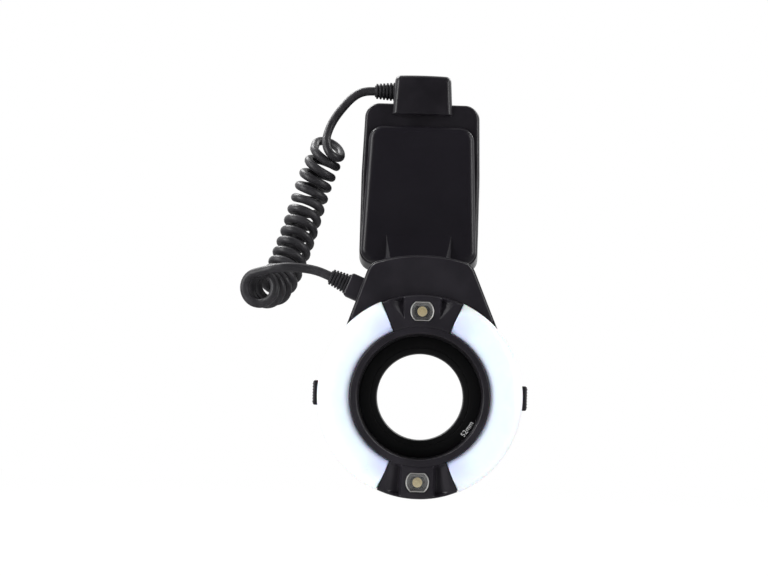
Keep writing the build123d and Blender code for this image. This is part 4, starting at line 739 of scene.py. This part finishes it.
def curly_points():
    """Control points of the helix, from its left side at the top to its top side at the end."""
    axis = read_line("coil_axis", COIL_AXIS, AXIS_FINENESS)
    tangents, normals, distances = [], [], [0.0]
    normal = Vector((0, -1, 0))
    for i, point in enumerate(axis):
        if i:
            distances.append(distances[-1] + (point - axis[i - 1]).length)
        lean = TOP_LEAN * max(0.0, 1 - distances[-1] / LEAN_FADES)
        nod = between(NODS, distances[-1])
        tangent = (axis[min(i + 1, len(axis) - 1)] - axis[max(i - 1, 0)]).normalized()
        tangent.rotate(Matrix.Rotation(radians(nod), 3, "X"))
        tangent.rotate(Matrix.Rotation(radians(lean), 3, "Y"))
        normal = (normal - tangent * normal.dot(tangent)).normalized()
        tangents.append(tangent)
        normals.append(normal.copy())
    side = tangents[-1].cross(normals[-1])
    end_phase = atan2(side.z, normals[-1].z)
    turns = COIL_TURNS + 0.25 - end_phase / (2 * pi)
    count = round(turns * POINTS_PER_TURN)
    placed = []
    for k in range(count + 1):
        share = k / count
        # The turns lie a little closer together near the top
        distance = distances[-1] * share * (0.98 + 0.02 * share)
        i = min(max(j for j, d in enumerate(distances) if d <= distance), len(axis) - 2)
        part = (distance - distances[i]) / (distances[i + 1] - distances[i])
        middle = axis[i].lerp(axis[i + 1], part)
        tangent = tangents[i].lerp(tangents[i + 1], part).normalized()
        outward = normals[i].lerp(normals[i + 1], part)
        outward = (outward - tangent * outward.dot(tangent)).normalized()
        phase = end_phase + (1 - share) * turns * 2 * pi
        beside = tangent.cross(outward)
        placed.append(tuple(middle + (outward * cos(phase) + beside * sin(phase)) * COIL_R))
    return placed


def spread(points):
    """The points of a line, less any that lie almost on the one before."""
    kept = [points[0]]
    for point in points[1:]:
        if (point - kept[-1]).length > CLOSE_POINTS:
            kept.append(point)
    return kept


def make_cord():
    """The whole cord as one tube along its smooth line, which stretches between unit and head."""
    route = UPPER_ROUTE + curly_points() + LOWER_ROUTE
    line = smooth_line("cord_line", route, CORD_FINENESS)
    line.data.bevel_depth = DRAWN_CORD_R * MM
    line.data.bevel_resolution = 5
    line.data.use_fill_caps = True
    tube = worked_out(line)
    bpy.data.objects.remove(line)
    cord = shown("cord", tube)
    smooth(cord, 60)
    give_finish(cord, "black_rubber")
    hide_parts("cord_upper_tail", "curly_cord", "cord_lower_tail")
    [point * MM for point in spread(read_line("cord_path", route, CORD_FINENESS))]
    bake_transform(cord)


place_camera()
make_cord()


# Turned pieces about any line


def turned(profile, start, direction, steps=64, reach=None):
    """A closed profile of (radius, distance) turned about a line."""
    along = Vector(direction).normalized()
    across = along.orthogonal().normalized()
    beside = along.cross(across)
    rings = []
    for i in range(steps):
        angle = 2 * pi * i / steps
        spoke = across * cos(angle) + beside * sin(angle)
        ring = []
        for radius, d in profile:
            r = reach(radius, d, i) if reach else radius
            ring.append(tuple(Vector(start) + along * d + spoke * r))
        rings.append(ring)
    return skin(rings, path_closed=True)


def ribbed_boot(name, start, direction, length, body, node):
    """A tapered strain relief: ribs with rounded rims on a core, over the cord."""
    ribs = 6
    pitch = length / ribs
    profile = [(CORD_R - 0.1, 0.0)]
    for i in range(ribs):
        high = 5.4 - i / (ribs - 1)
        low = high - 0.95
        near = i * pitch
        far = near + pitch * 0.64
        rim = [(0.95, 0.0), (0.35, 0.02), (0.08, 0.14), (0.0, 0.42)]
        profile += [(high - down, near + along) for down, along in rim]
        profile += [(high - down, far - along) for down, along in reversed(rim)]
        profile += [(low - 0.1, far + 0.2), (low - 0.1, near + pitch - 0.15)]
    profile += [(CORD_R + 0.7, length), (CORD_R - 0.1, length)]
    solid(name, turned(profile, start, direction), "black_rubber", body, [node])


PLUG_OUT = Vector((-cos(radians(22.6)), 0, sin(radians(22.6))))
PLUG_BASE = Vector((LENS_X - 31.4, -71.0, LENS_Z + 55.8))


def plug_place(u, v, depth):
    sideways = Vector((-PLUG_OUT.z, 0, PLUG_OUT.x))
    return tuple(PLUG_BASE + PLUG_OUT * depth + Vector((0, 1, 0)) * u + sideways * v)


def make_plug():
    """The plug's plain rounded block."""
    outline = round_outline(11.0, 13.0, 1.8)
    levels = [(0.0, -2.4), (0.0, 8.4), (0.12, 9.0), (0.45, 9.55), (0.9, 9.9), (1.4, 10.0)]
    block = stack(outline, levels, plug_place)
    solid("plug_block", block, "head_plastic", "ring_head", ["head_plug_housing"])


# Control unit


def connector_level(share, inset):
    """The connector housing's plan: bowed in front, narrower and leaning back toward the top."""
    half = 17.6 - 1.3 * share
    front = -22.5 + 2.0 * share
    bow = arc_points((-half, front), (0, front - 1.6), (half, front), 16)
    corners = [(half, 11.0, 2.4), (-half, 11.0, 2.4), (-half, front, 3.2), (half, front, 3.2)]
    moved = []
    for x, y in soft_corners(corners, 6):
        lift = -1.6 * (1 - (x / half) ** 2) if y < front + 3.2 else 0.0
        moved.append((x, y + lift))
    low_x = moved[20][0]
    high_x = moved[21][0]
    bowed = [(x, y) for x, y in bow if low_x + 0.3 < x < high_x - 0.3]
    return shrink(moved[:21] + bowed[1:-1] + moved[21:], inset)


CONNECTOR_BROW_Z = 120.2
BROW_R = 3.2


def make_connector_housing():
    """Tapered block with a chamfered foot and a deep brow along its front top edge."""
    levels = [(0.5, 100.0), (0.12, 100.35), (0.0, 100.7), (0.0, 109.0), (0.0, CONNECTOR_BROW_Z)]
    levels += rolled(CONNECTOR_BROW_Z, 2.0, BROW_R, (0.25, 0.5, 0.75, 1.0, 1.2, 1.4, pi / 2))
    rings = []
    for inset, z in levels:
        brow = BROW_R - sqrt(max(0.0, BROW_R**2 - max(0.0, z - CONNECTOR_BROW_Z) ** 2))
        ring = []
        for u, v in connector_level((z - 100.0) / 22.4, inset):
            back = (brow - inset) * min(1.0, max(0.0, (4.0 - v) / 20.0)) if brow > inset else 0.0
            ring.append((u, v + back, z))
        rings.append(ring)
    solid(
        "connector_block", skin(rings), "black_plastic", "control_unit", ["connector_housing"], sharp=50
    )


PANEL_LOW_Z, PANEL_HIGH_Z = 13.3, 93.0
PANEL_TOP_W = 60.6
PANEL_FLARE = 0.115
RAMP_HALF = 18.75
STRIP_HALF = 18.7
CHEEK_SLOPE = 1.8


def make_front_panel():
    """The raised panel with rolled edges, wider toward the bottom, and the ramp over the lens."""
    low, high = PANEL_LOW_Z, PANEL_HIGH_Z
    middle = (low + high) / 2
    outline = []
    for u, v in round_outline(PANEL_TOP_W, high - low, 8.0, 10):
        flare = 1 + PANEL_FLARE * (high - middle - v) / (high - low)
        outline.append((u * flare, v + middle))
    angles = (0.16, 0.32, 0.48, 0.64, 0.8, 0.96, 1.12, 1.28, 1.44, pi / 2)
    levels = [(0.0, -19.6), (0.0, -21.4), *rolled(-21.4, 4.2, -3.6, angles), (4.8, -25.03)]
    solid("panel", stack(outline, levels, upright), "satin_panel", "control_unit", ["front_panel"])
    across = [-19.5 + 39.0 * i / 156 for i in range(157)]
    rows = []
    for k in range(37):
        z = 31.5 - 0.46 * k
        rows.append([(u, ramp_depth(u, z), z) for u in across])
    rows.append([(u, -24.0, 14.94) for u in across])
    solid("ramp", skin(rows, ring_closed=False), "satin_panel", "control_unit", sharp=50)
    strips = []
    for side in (-1, 1):
        loops = []
        for k in range(19):
            z = 29.0 - 0.75 * k
            near = STRIP_HALF - ramp_rise(z) / CHEEK_SLOPE
            section = [(near, -0.08), (RAMP_HALF, -0.08), (RAMP_HALF, 0.2), (near, 0.2)]
            loops.append([(side * u, ramp_depth(u, z) + off, z) for u, off in section])
        strips.append(skin(loops))
    # The strips' finish is partly their own grey and partly a painted highlight along the ramp's cheeks
    solid("ramp_edges", joined(*strips), "ramp_grey_and_painted_sheen", "control_unit", ["ramp_strips"])


def ramp_rise(z):
    """How far the ramp stands out of the panel, easing in from its upper end."""
    down = max(0.0, 30.5 - z)
    return 0.4 * down * down / (down + 2.8)


def ramp_depth(u, z):
    """The ramp rises gently out of the panel toward the bottom, between two slanted cheeks."""
    cheek = (RAMP_HALF - abs(u)) * CHEEK_SLOPE
    return -24.95 - max(0.0, min(ramp_rise(z), cheek))


WHEEL_Z = 5.95
WHEEL_FLUTES, WHEEL_FLUTE_STEPS = 20, 16


def make_lock_wheel():
    """The clamping wheel with rounded flutes and a stepped face."""
    bottom = [(8.3, 0.0, 0.2), (14.96, 0.0, 0.7)]
    top = [(14.96, 5.4, 0.7), (12.2, 5.4, 0.2), (11.8, 5.1, 0.0), (8.3, 5.1, 0.2)]
    profile = soft_corners(bottom + top, 3)

    def fluted(radius, distance, i):
        if radius < 13.2:
            return radius
        phase = (i % WHEEL_FLUTE_STEPS) / WHEEL_FLUTE_STEPS * 2 * pi
        return radius - 0.9 * max(0.0, cos(phase)) ** 2

    wheel = turned(profile, (0, 0, WHEEL_Z), (0, 0, 1), WHEEL_FLUTES * WHEEL_FLUTE_STEPS, fluted)
    solid("clamp_wheel", wheel, "black_plastic", "lock_wheel", ["lock_wheel"])


SCREW_SUNK = 1.2


def cross_screw(x, y, z, head):
    """A pan head; its cross recess is cut afterwards."""
    rim = [(1, 0.0), (1, 0.35), (0.92, 0.75), (0.6, 1.05), (0.2, 1.15)]
    rings = []
    for share, up in rim:
        rings.append([(x + u, y + (up - SCREW_SUNK), z + v) for u, v in circle(head * share, 48)])
    return skin(rings)


def cross_room(x, y, z, head):
    """The two arms of a cross recess."""
    arm, wide = head * 0.55, head * 0.16
    deep = (y - 0.9, y + 0.6)
    across = box((x - arm, x + arm), deep, (z - wide, z + wide))
    upward = box((x - wide, x + wide), deep, (z - arm, z + arm))
    return [across, upward]


def make_screws(name, places, head, body, node):
    screws = joined(*[cross_screw(x, y, z, head) for x, y, z in places])
    made = solid(name, screws, "screw_steel", body, [node])
    for x, y, z in places:
        for room in cross_room(x, y, z, head):
            cut(made, room)
    smooth(made, 35)


# Ring head


LAMP_UP = 45.0
SEGMENT_R = 36.2
SEGMENT_BACK_Y = -77.0

# The hood's straight sides: the way that each faces, and how far it lies from the lens axis
RIGHT_SIDE = (Vector((0.921, 0.390)), 51.84)
LEFT_SIDE = (Vector((0.944, 0.329)), 50.4)
HOOD_TOP_R = 80.8
HOOD_TOP_MIDDLE = -5.0
HOOD_LOW_R, HOOD_KEPT_R = 54.9, 54.5


def hood_reach(angle, inset):
    """How far the head's outline lies from the lens axis at an angle."""
    ring = RING_R - inset
    upward = Vector((abs(cos(angle)), sin(angle)))
    if upward.y < 0.3:
        return ring
    normal, distance = RIGHT_SIDE if cos(angle) > 0 else LEFT_SIDE
    side = (distance - inset) / upward.dot(normal)
    arc_r = HOOD_TOP_R - inset
    along = upward.y * HOOD_TOP_MIDDLE
    top = along + sqrt(along * along + arc_r * arc_r - HOOD_TOP_MIDDLE * HOOD_TOP_MIDDLE)
    return max(ring, min(side, top))


def head_outline(inset, count=360):
    """The outline of ring and hood, with its corners eased."""
    fine = 4
    total = count * fine
    raw = [hood_reach(2 * pi * i / total, inset) for i in range(total)]
    outline = []
    for i in range(count):
        near = range(-9, 10)
        radius = sum(raw[(i * fine + k) % total] for k in near) / len(near)
        angle = 2 * pi * i / count
        outline.append((radius * cos(angle), radius * sin(angle)))
    return outline


def on_head(u, v, y):
    return (LENS_X + u, y, LENS_Z + v)


def make_head_shell():
    """The rear housing: ring and hood in one, with the bore, a seam groove and the button slots."""
    levels = [(0.6, -76.95), (0.25, -76.88), (0.06, -76.7), (0.0, -76.4)]
    levels += [(0.0, -75.9), (0.25, -75.75), (0.25, -75.35), (0.0, -75.2), (0.0, -64.4)]
    levels += rolled(-64.4, 2.4, 2.4, (0.3, 0.6, 0.9, 1.2, 1.5708))
    rings = [[on_head(u, v, y) for u, v in head_outline(inset)] for inset, y in levels]
    spokes = [atan2(v, u) for u, v in head_outline(0)]
    back = [(41.0, -62.0), (40.6, -62.3), (39.4, -62.3), (39.0, -62.0), (33.4, -62.0), (33.1, -62.2)]
    bore = [(33.0, -62.5), (33.0, -69.0), (36.4, -69.4), (36.4, -76.95)]
    rings += [[polar(radius, a, y) for a in spokes] for radius, y in back + bore]
    shell = skin(rings, path_closed=True)
    made = solid("head_shell", shell, "head_plastic", "ring_head", ["head_rear_housing"], sharp=50)
    for side in (-1, 1):
        x = sorted((LENS_X + side * 49.0, LENS_X + side * 56.0))
        cut(made, box(x, (-69.4, -63.9), (-70.2, -56.2)))
    well = [(2.15, -2.0), (2.15, 1.0), (0.01, 1.0), (0.01, -2.0)]
    for x, y, z in HEAD_SCREWS:
        cut(made, turned(well, (x, -62.0, z), (0, 1, 0), 32))
    smooth(made, 40)


HEAD_SCREWS = [
    (LENS_X + side * 11.8, -62.9, LENS_Z + up * 47.4) for side in (-1, 1) for up in (-1, 1)
]


def hood_outline():
    """The hood's front plate: just inside the shell's outline, with the ring's curve below."""
    angles = [radians(42.9 * k / 13) for k in range(-13, 14)]
    low = [(HOOD_LOW_R * sin(a), HOOD_LOW_R * cos(a)) for a in angles]
    high = [point for k, point in enumerate(head_outline(0.9)) if 48 <= k <= 132]
    return low + high


def make_hood_plate():
    """The hood's plate, whose lower edge keeps to the ring's curve at every level."""
    outline = hood_outline()
    levels = [(0.0, -74.0), (0.0, -79.1), (0.08, -79.45), (0.28, -79.75)]
    levels += [(0.6, -79.95), (1.0, -80.03), (1.6, -80.05)]
    rings = []
    for inset, y in levels:
        ring = []
        for k, (u, v) in enumerate(shrink(outline, inset)):
            reach = hypot(u, v)
            if k < 27 or reach < HOOD_KEPT_R + 0.1:
                u, v = u * HOOD_KEPT_R / reach, v * HOOD_KEPT_R / reach
            ring.append(on_head(u, v, y))
        rings.append(ring)
    solid("hood_plate", skin(rings), "head_plastic", "ring_head", ["hood_cover"])


def ease(value, low, high):
    """A smooth step from 0 to 1, for shapes."""
    share = min(1.0, max(0.0, (value - low) / (high - low)))
    return share * share * (3 - 2 * share)


def segment_face(radius, angle, up):
    """Depth of a black segment's face: the lamp block between two scoops, and the lamp's seat."""
    u = abs(radius * cos(angle))
    v = radius * sin(angle) * up
    if up > 0:
        beside = (u - 9.3) * 3.4
        above = (v - 42.0 - 1.05 * (u - 10.6)) * 0.46
        scoop = max(0.0, min(beside, above))
    else:
        inner = (u - 8.1) * 2.4
        outer = (15.4 + 0.2 * (v - 37.0) - u) * 0.62
        blend = (inner + outer - sqrt((inner - outer) ** 2 + 1.2)) / 2
        scoop = max(0.0, blend) * ease(radius, 36.6, 38.6)
    face = -87.9 + scoop * (1 - ease(radius, 51.6, 53.6)) + 0.6 * ease(u, 14.0, 20.0)
    face += 1.4 * (1 - ease(clipped_distance(u, v - LAMP_UP), 0.97, 1.03))
    rim = max(0.0, radius - 51.2)
    face += 2.8 - sqrt(max(0.0, 2.8**2 - rim**2))
    return face + max(0.0, 37.6 - radius) * 0.4


def clipped_distance(u, v):
    """How far out a point lies in the lamp's outline, a circle cut off above and below."""
    return max(hypot(u, v) / 6.35, abs(v) / 5.2)


def make_bezel():
    """Inner ring with its rolled lip, and the two segments that hold the lamps."""
    front = [(33.3, -69.8, 0.0), (33.3, -88.0, 0.7), (34.2, -88.0, 0.0), (36.0, -88.0, 0.0)]
    lip = soft_corners(front + [(36.9, -88.0, 0.7), (36.9, -77.0, 0.2), (36.0, -69.8, 0.0)], 5)
    inside = lip[:1]
    for k in range(1, 9):
        y = -69.8 - k * 1.9
        inside += [(33.3, y + 0.25), (33.38, y + 0.15), (33.38, y - 0.15), (33.3, y - 0.25)]
    shells = [around_lens(inside + lip[1:], steps=240)]
    half = 23.2
    for up in (-1, 1):
        rings = []
        for i in range(137):
            angle = radians(up * 90 + half * (2 * i / 136 - 1))
            loop = []
            for k in range(61):
                radius = SEGMENT_R + (RING_R - SEGMENT_R) * k / 60
                loop.append(polar(radius, angle, segment_face(radius, angle, up)))
            loop.append(polar(RING_R, angle, SEGMENT_BACK_Y))
            loop.append(polar(SEGMENT_R, angle, SEGMENT_BACK_Y))
            rings.append(loop)
        shells.append(skin(rings))
    solid("bezel", joined(*shells), "head_plastic", "ring_head", ["head_front_bezel"], sharp=30)


def diffuser_loop():
    """Radial section of a diffuser: a rolled outer edge, a dome, and a fine inner lip."""
    dome = arc_points((37.2, -86.0), (44.6, -87.95), (53.6, -84.4), 18)
    edge = arc_points((53.6, -84.4), (54.3, -83.3), (54.5, -82.0), 5)[1:]
    return [(37.2, -77.0), (37.2, -85.4), (37.32, -85.8)] + dome[1:] + edge + [(54.5, -77.0)]


def make_diffusers():
    for side, middle in (("right", 0.0), ("left", 180.0)):
        shell = around_lens(diffuser_loop(), middle - 66.4, 132.8, 150)
        nodes = ["diffuser_" + side]
        solid("cover_" + side, shell, "diffuser_white", "ring_head", nodes, bevel=0.5, sharp=34)


def clipped(inset):
    """A lamp's outline at an inset: a circle cut off flat above and below."""
    radius, half = 6.2 - inset, 5.05 - inset
    corner = asin(half / radius)
    right = arc([corner * k / 12 for k in range(-12, 13)], radius)
    corner_x = radius * cos(corner)
    top = [(corner_x * (1 - k / 6), half) for k in range(1, 12)]
    return right + top + [(-u, -v) for u, v in right] + [(-u, -v) for u, v in top]


def make_lamps():
    """Each lamp: a bright rim, a grey cup, the emitter on its pad, and a domed lens."""
    glass = [(0.6, -87.1), (0.6, -87.6), (0.9, -87.9), (1.5, -88.05), (2.4, -88.14), (3.6, -88.2)]
    cup = [(0.5, -86.2), (0.5, -87.0), (1.6, -86.6), (2.4, -86.45), (2.8, -86.4)]
    base = [(0.0, -86.35), (0.0, -86.55), (0.15, -86.6)]
    bead = [(0, -86.6), (0.12, -86.72), (0.34, -86.85), (0.66, -86.96), (1.05, -87.03), (1.4, -87.05)]
    rim = [(0.0, -86.6), (0.0, -87.95), (0.12, -88.15), (0.3, -88.2), (0.48, -88.12), (0.55, -87.9)]
    rim += [(0.55, -86.6)]
    rims = []
    for name, up in (("top", 1), ("bottom", -1)):
        place = at(LENS_X, LENS_Z + up * LAMP_UP)

        def layers(profile, closed=False):
            rings = [[place(u, v, y) for u, v in clipped(inset)] for inset, y in profile]
            return skin(rings, path_closed=closed)

        solid("lens_" + name, layers(glass), "lamp_lens", "ring_head", ["lamp_lens_" + name])
        solid("cup_" + name, layers(cup), "cup_grey", "ring_head")
        emitter = joined(stack(circle(2.6, 48), base, place), stack(circle(1.6, 40), bead, place))
        solid("emitter_" + name, emitter, "emitter", "ring_head", ["lamp_led_" + name])
        rims.append(layers(rim, True))
    solid("lamp_bezels", joined(*rims), "lamp_rim", "ring_head", ["lamp_rims"])


def make_adapter():
    """The ring on the lens: stepped face, latch groove, knurled grip and a real thread form."""
    profile = [(23.6, -68.9), (23.75, -69.2), (24.2, -69.4), (26.4, -69.4), (26.55, -69.2)]
    profile += [(26.9, -69.2), (27.05, -69.4), (32.3, -69.4), (32.75, -69.25), (32.9, -68.9)]
    profile += [(32.9, -67.2), (31.6, -67.1), (31.6, -64.0), (32.9, -63.9), (32.9, -62.2)]
    profile += [(32.6, -62.0), (31.3, -61.95), (31.6, -61.7), (31.6, -60.0), (31.3, -59.65)]
    profile += [(25.3, -59.6)]
    for k in range(5):
        y = -59.3 + 0.8 * k
        profile += [(25.5, y), (26.0, y + 0.3), (26.0, y + 0.45), (25.5, y + 0.75)]
    profile += [(25.2, -55.12), (24.0, -55.1), (23.6, -55.4)]
    for y in (-58.0, -62.0):
        profile += [(23.6, y), (23.75, y - 0.1), (23.75, y - 0.5), (23.6, y - 0.6)]

    def knurled(radius, y, i):
        if radius > 31.4 and -61.8 < y < -59.9:
            return radius - 0.28 * (i % 2)
        return radius

    ring = around_lens(profile, steps=240, reach=knurled)
    solid("lens_adapter", ring, "adapter_alloy", "adapter_ring", ["adapter_ring"], sharp=30)


BUTTON_Y, BUTTON_Z = -66.65, -63.2


def make_release_buttons():
    """The side buttons: rounded, with grip ridges across the thumb face."""

    def outline(width, height, radius, rise=0.0):
        return [(y + BUTTON_Y, z + BUTTON_Z + rise) for y, z in round_outline(width, height, radius)]

    for name, side in (("left", -1), ("right", 1)):

        def outward(u, v, depth, side=side):
            return (LENS_X + side * depth, u, v)

        levels = [(0.0, 52.9), (0.0, 56.9), (0.2, 57.5), (0.75, 57.9)]
        parts = [stack(outline(4.9, 13.4, 1.2), levels, outward)]
        for rise in (-4.8, -3.2, -1.6, 0.0, 1.6, 3.2, 4.8):
            ridge = [(0.0, 57.6), (0.0, 58.0), (0.15, 58.2)]
            parts.append(stack(outline(3.6, 0.8, 0.35, rise), ridge, outward))
        solid(
            "thumb_" + name, joined(*parts), "head_plastic", "release_" + name,
            ["release_button_" + name],
        )


# Printing


BACK_RIGHT = (-1, 0, 0)
BACK_UP = (0, 0, 1)
INK_HALF = 0.02
THREAD_SIGN_R, THREAD_SIGN_ANGLE = 31.0, -32.5


def lettering(name, words, size, middle, body, finish="white_print", right=BACK_RIGHT, up=BACK_UP):
    """Raised ink, centred on a point; it faces the back unless told otherwise."""
    curve = bpy.data.curves.new(name, "FONT")
    curve.body = words
    curve.size = size * MM
    curve.extrude = INK_HALF * MM
    curve.align_x = "CENTER"
    curve.align_y = "CENTER"
    curve.resolution_u = 4
    holder = shown(name, curve)
    mesh = worked_out(holder)
    bpy.data.objects.remove(holder)
    across, above = Vector(right), Vector(up)
    turn = Matrix((across, above, across.cross(above))).transposed()
    mesh.transform(Matrix.Translation(Vector(middle) * MM) @ turn.to_4x4())
    dress(shown(name, mesh), finish, body)


def make_printing():
    angle = radians(THREAD_SIGN_ANGLE)
    lettering(
        "thread_size", "52mm", 3.7, polar(THREAD_SIGN_R, angle, -69.42), "adapter_ring",
        right=(-sin(angle), 0, cos(angle)), up=(-cos(angle), 0, -sin(angle)),
    )
    signs = {"mode": "M", "light": "L", "zoom": "Z", "minus": "-", "select": "o", "plus": "+"}
    for key, sign in signs.items():
        low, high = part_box(key + "_button")
        middle = (low + high) / 2 / MM
        lettering("sign_" + key, sign, 3.4, (middle.x, high.y / MM + 0.01, middle.z), key + "_button")
    lettering("sign_on", "ON", 2.6, (27.4, 42.03, 29.0), "control_unit")
    lettering("sign_off", "OFF", 2.6, (10.0, 42.03, 29.0), "control_unit")
    low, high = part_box("display_module")
    y = high.y / MM + 0.02
    for name, words, size, x, z in (
        ("reading_power", "1/4", 9.5, -4.0, 84.0), ("reading_mode", "M", 5.5, 16.0, 91.5),
        ("reading_zoom", "24", 4.6, -16.0, 93.0), ("reading_step", "+0.3", 4.0, 14.0, 79.0),
    ):
        lettering(name, words, size, (x, y, z), "control_unit", "dark_print")


ribbed_boot("upper_boot", (-16.4, -6.0, 116.8), (-1, 0, 0), 12.2, "control_unit", "top_strain_relief")
ribbed_boot("head_boot", PLUG_BASE + PLUG_OUT * 10.0, PLUG_OUT, 10.4, "ring_head", "head_strain_relief")
make_plug()
make_connector_housing()
make_front_panel()
make_lock_wheel()
make_head_shell()
make_hood_plate()
make_bezel()
make_diffusers()
make_lamps()
make_adapter()
make_release_buttons()
make_screws("head_cross_screws", HEAD_SCREWS, 1.9, "ring_head", "head_screws")
make_printing()


# The solids that stay, each with its finish and smoothed over its facets

KEPT = {m["node"]: m["material_slot"] for m in frame["record"]["subparts"]}
for node, piece in frame["nodes"].items():
    if piece.hide_render:
        continue
    give_finish(piece, KEPT[node])
    smooth(piece, 36)


# Floor, backdrop light and lamps


FLOOR_REACH = 12.0
FLOOR_Z = -0.2


def make_floor():
    mesh = bpy.data.meshes.new("floor")
    corners = [(-1, -1), (1, -1), (1, 1), (-1, 1)]
    points = [(x * FLOOR_REACH, y * FLOOR_REACH, FLOOR_Z) for x, y in corners]
    mesh.from_pydata(points, [], [(0, 1, 2, 3)])
    floor = shown("floor", mesh)
    mesh.materials.append(finished("floor_white", floor_white))


def make_world():
    """White seen directly; in reflections bright behind and at two sides, and dim in front."""
    world = bpy.data.worlds.new("studio")
    bpy.context.scene.world = world
    world.use_nodes = True
    nodes = Nodes(world.node_tree)
    sky = nodes.tree.nodes["Background"]
    sky.inputs["Color"].default_value = (1, 1, 1, 1)
    camera, glossy, through = nodes.rays()
    x, y, z = nodes.split(nodes.node("TexCoord", {}, {}, "Generated"))
    behind = nodes.step(y, -0.25, 0.35)
    sides = nodes.step(x * x, 0.50, 0.80) * nodes.step(z * z, 0.45, 0.2)
    mirrored = 0.05 + 0.95 * (1 - (1 - behind) * (1 - sides * 0.9))
    indirect = nodes.maths("MAXIMUM", glossy, through)
    light = (1 - indirect) * 0.56 + indirect * mirrored
    strength = camera + (1 - camera) * light
    nodes.tree.links.new(strength.socket, sky.inputs["Strength"])


def lamp(name, power, size, place, target):
    light = bpy.data.lights.new(name, "AREA")
    light.energy = power
    light.shape = "RECTANGLE"
    light.size, light.size_y = size
    holder = shown(name, light)
    holder.location = place
    holder.rotation_euler = (Vector(target) - Vector(place)).to_track_quat("-Z", "Y").to_euler()


make_floor()
make_world()
lamp("left", 10.0, (0.3, 1.1), (-1.05, -0.55, 0.38), (0, -0.04, 0.0))
lamp("right", 7.0, (0.3, 1.1), (1.1, -0.5, 0.38), (0, -0.04, 0.0))
lamp("top", 9.0, (0.5, 0.4), (-0.55, 0.45, 0.95), (0, -0.03, 0.05))
lamp("rear", 5.0, (0.5, 0.5), (0.65, 0.6, 0.85), (0, 0, 0.05))
bpy.context.scene.view_settings.view_transform = "Standard"
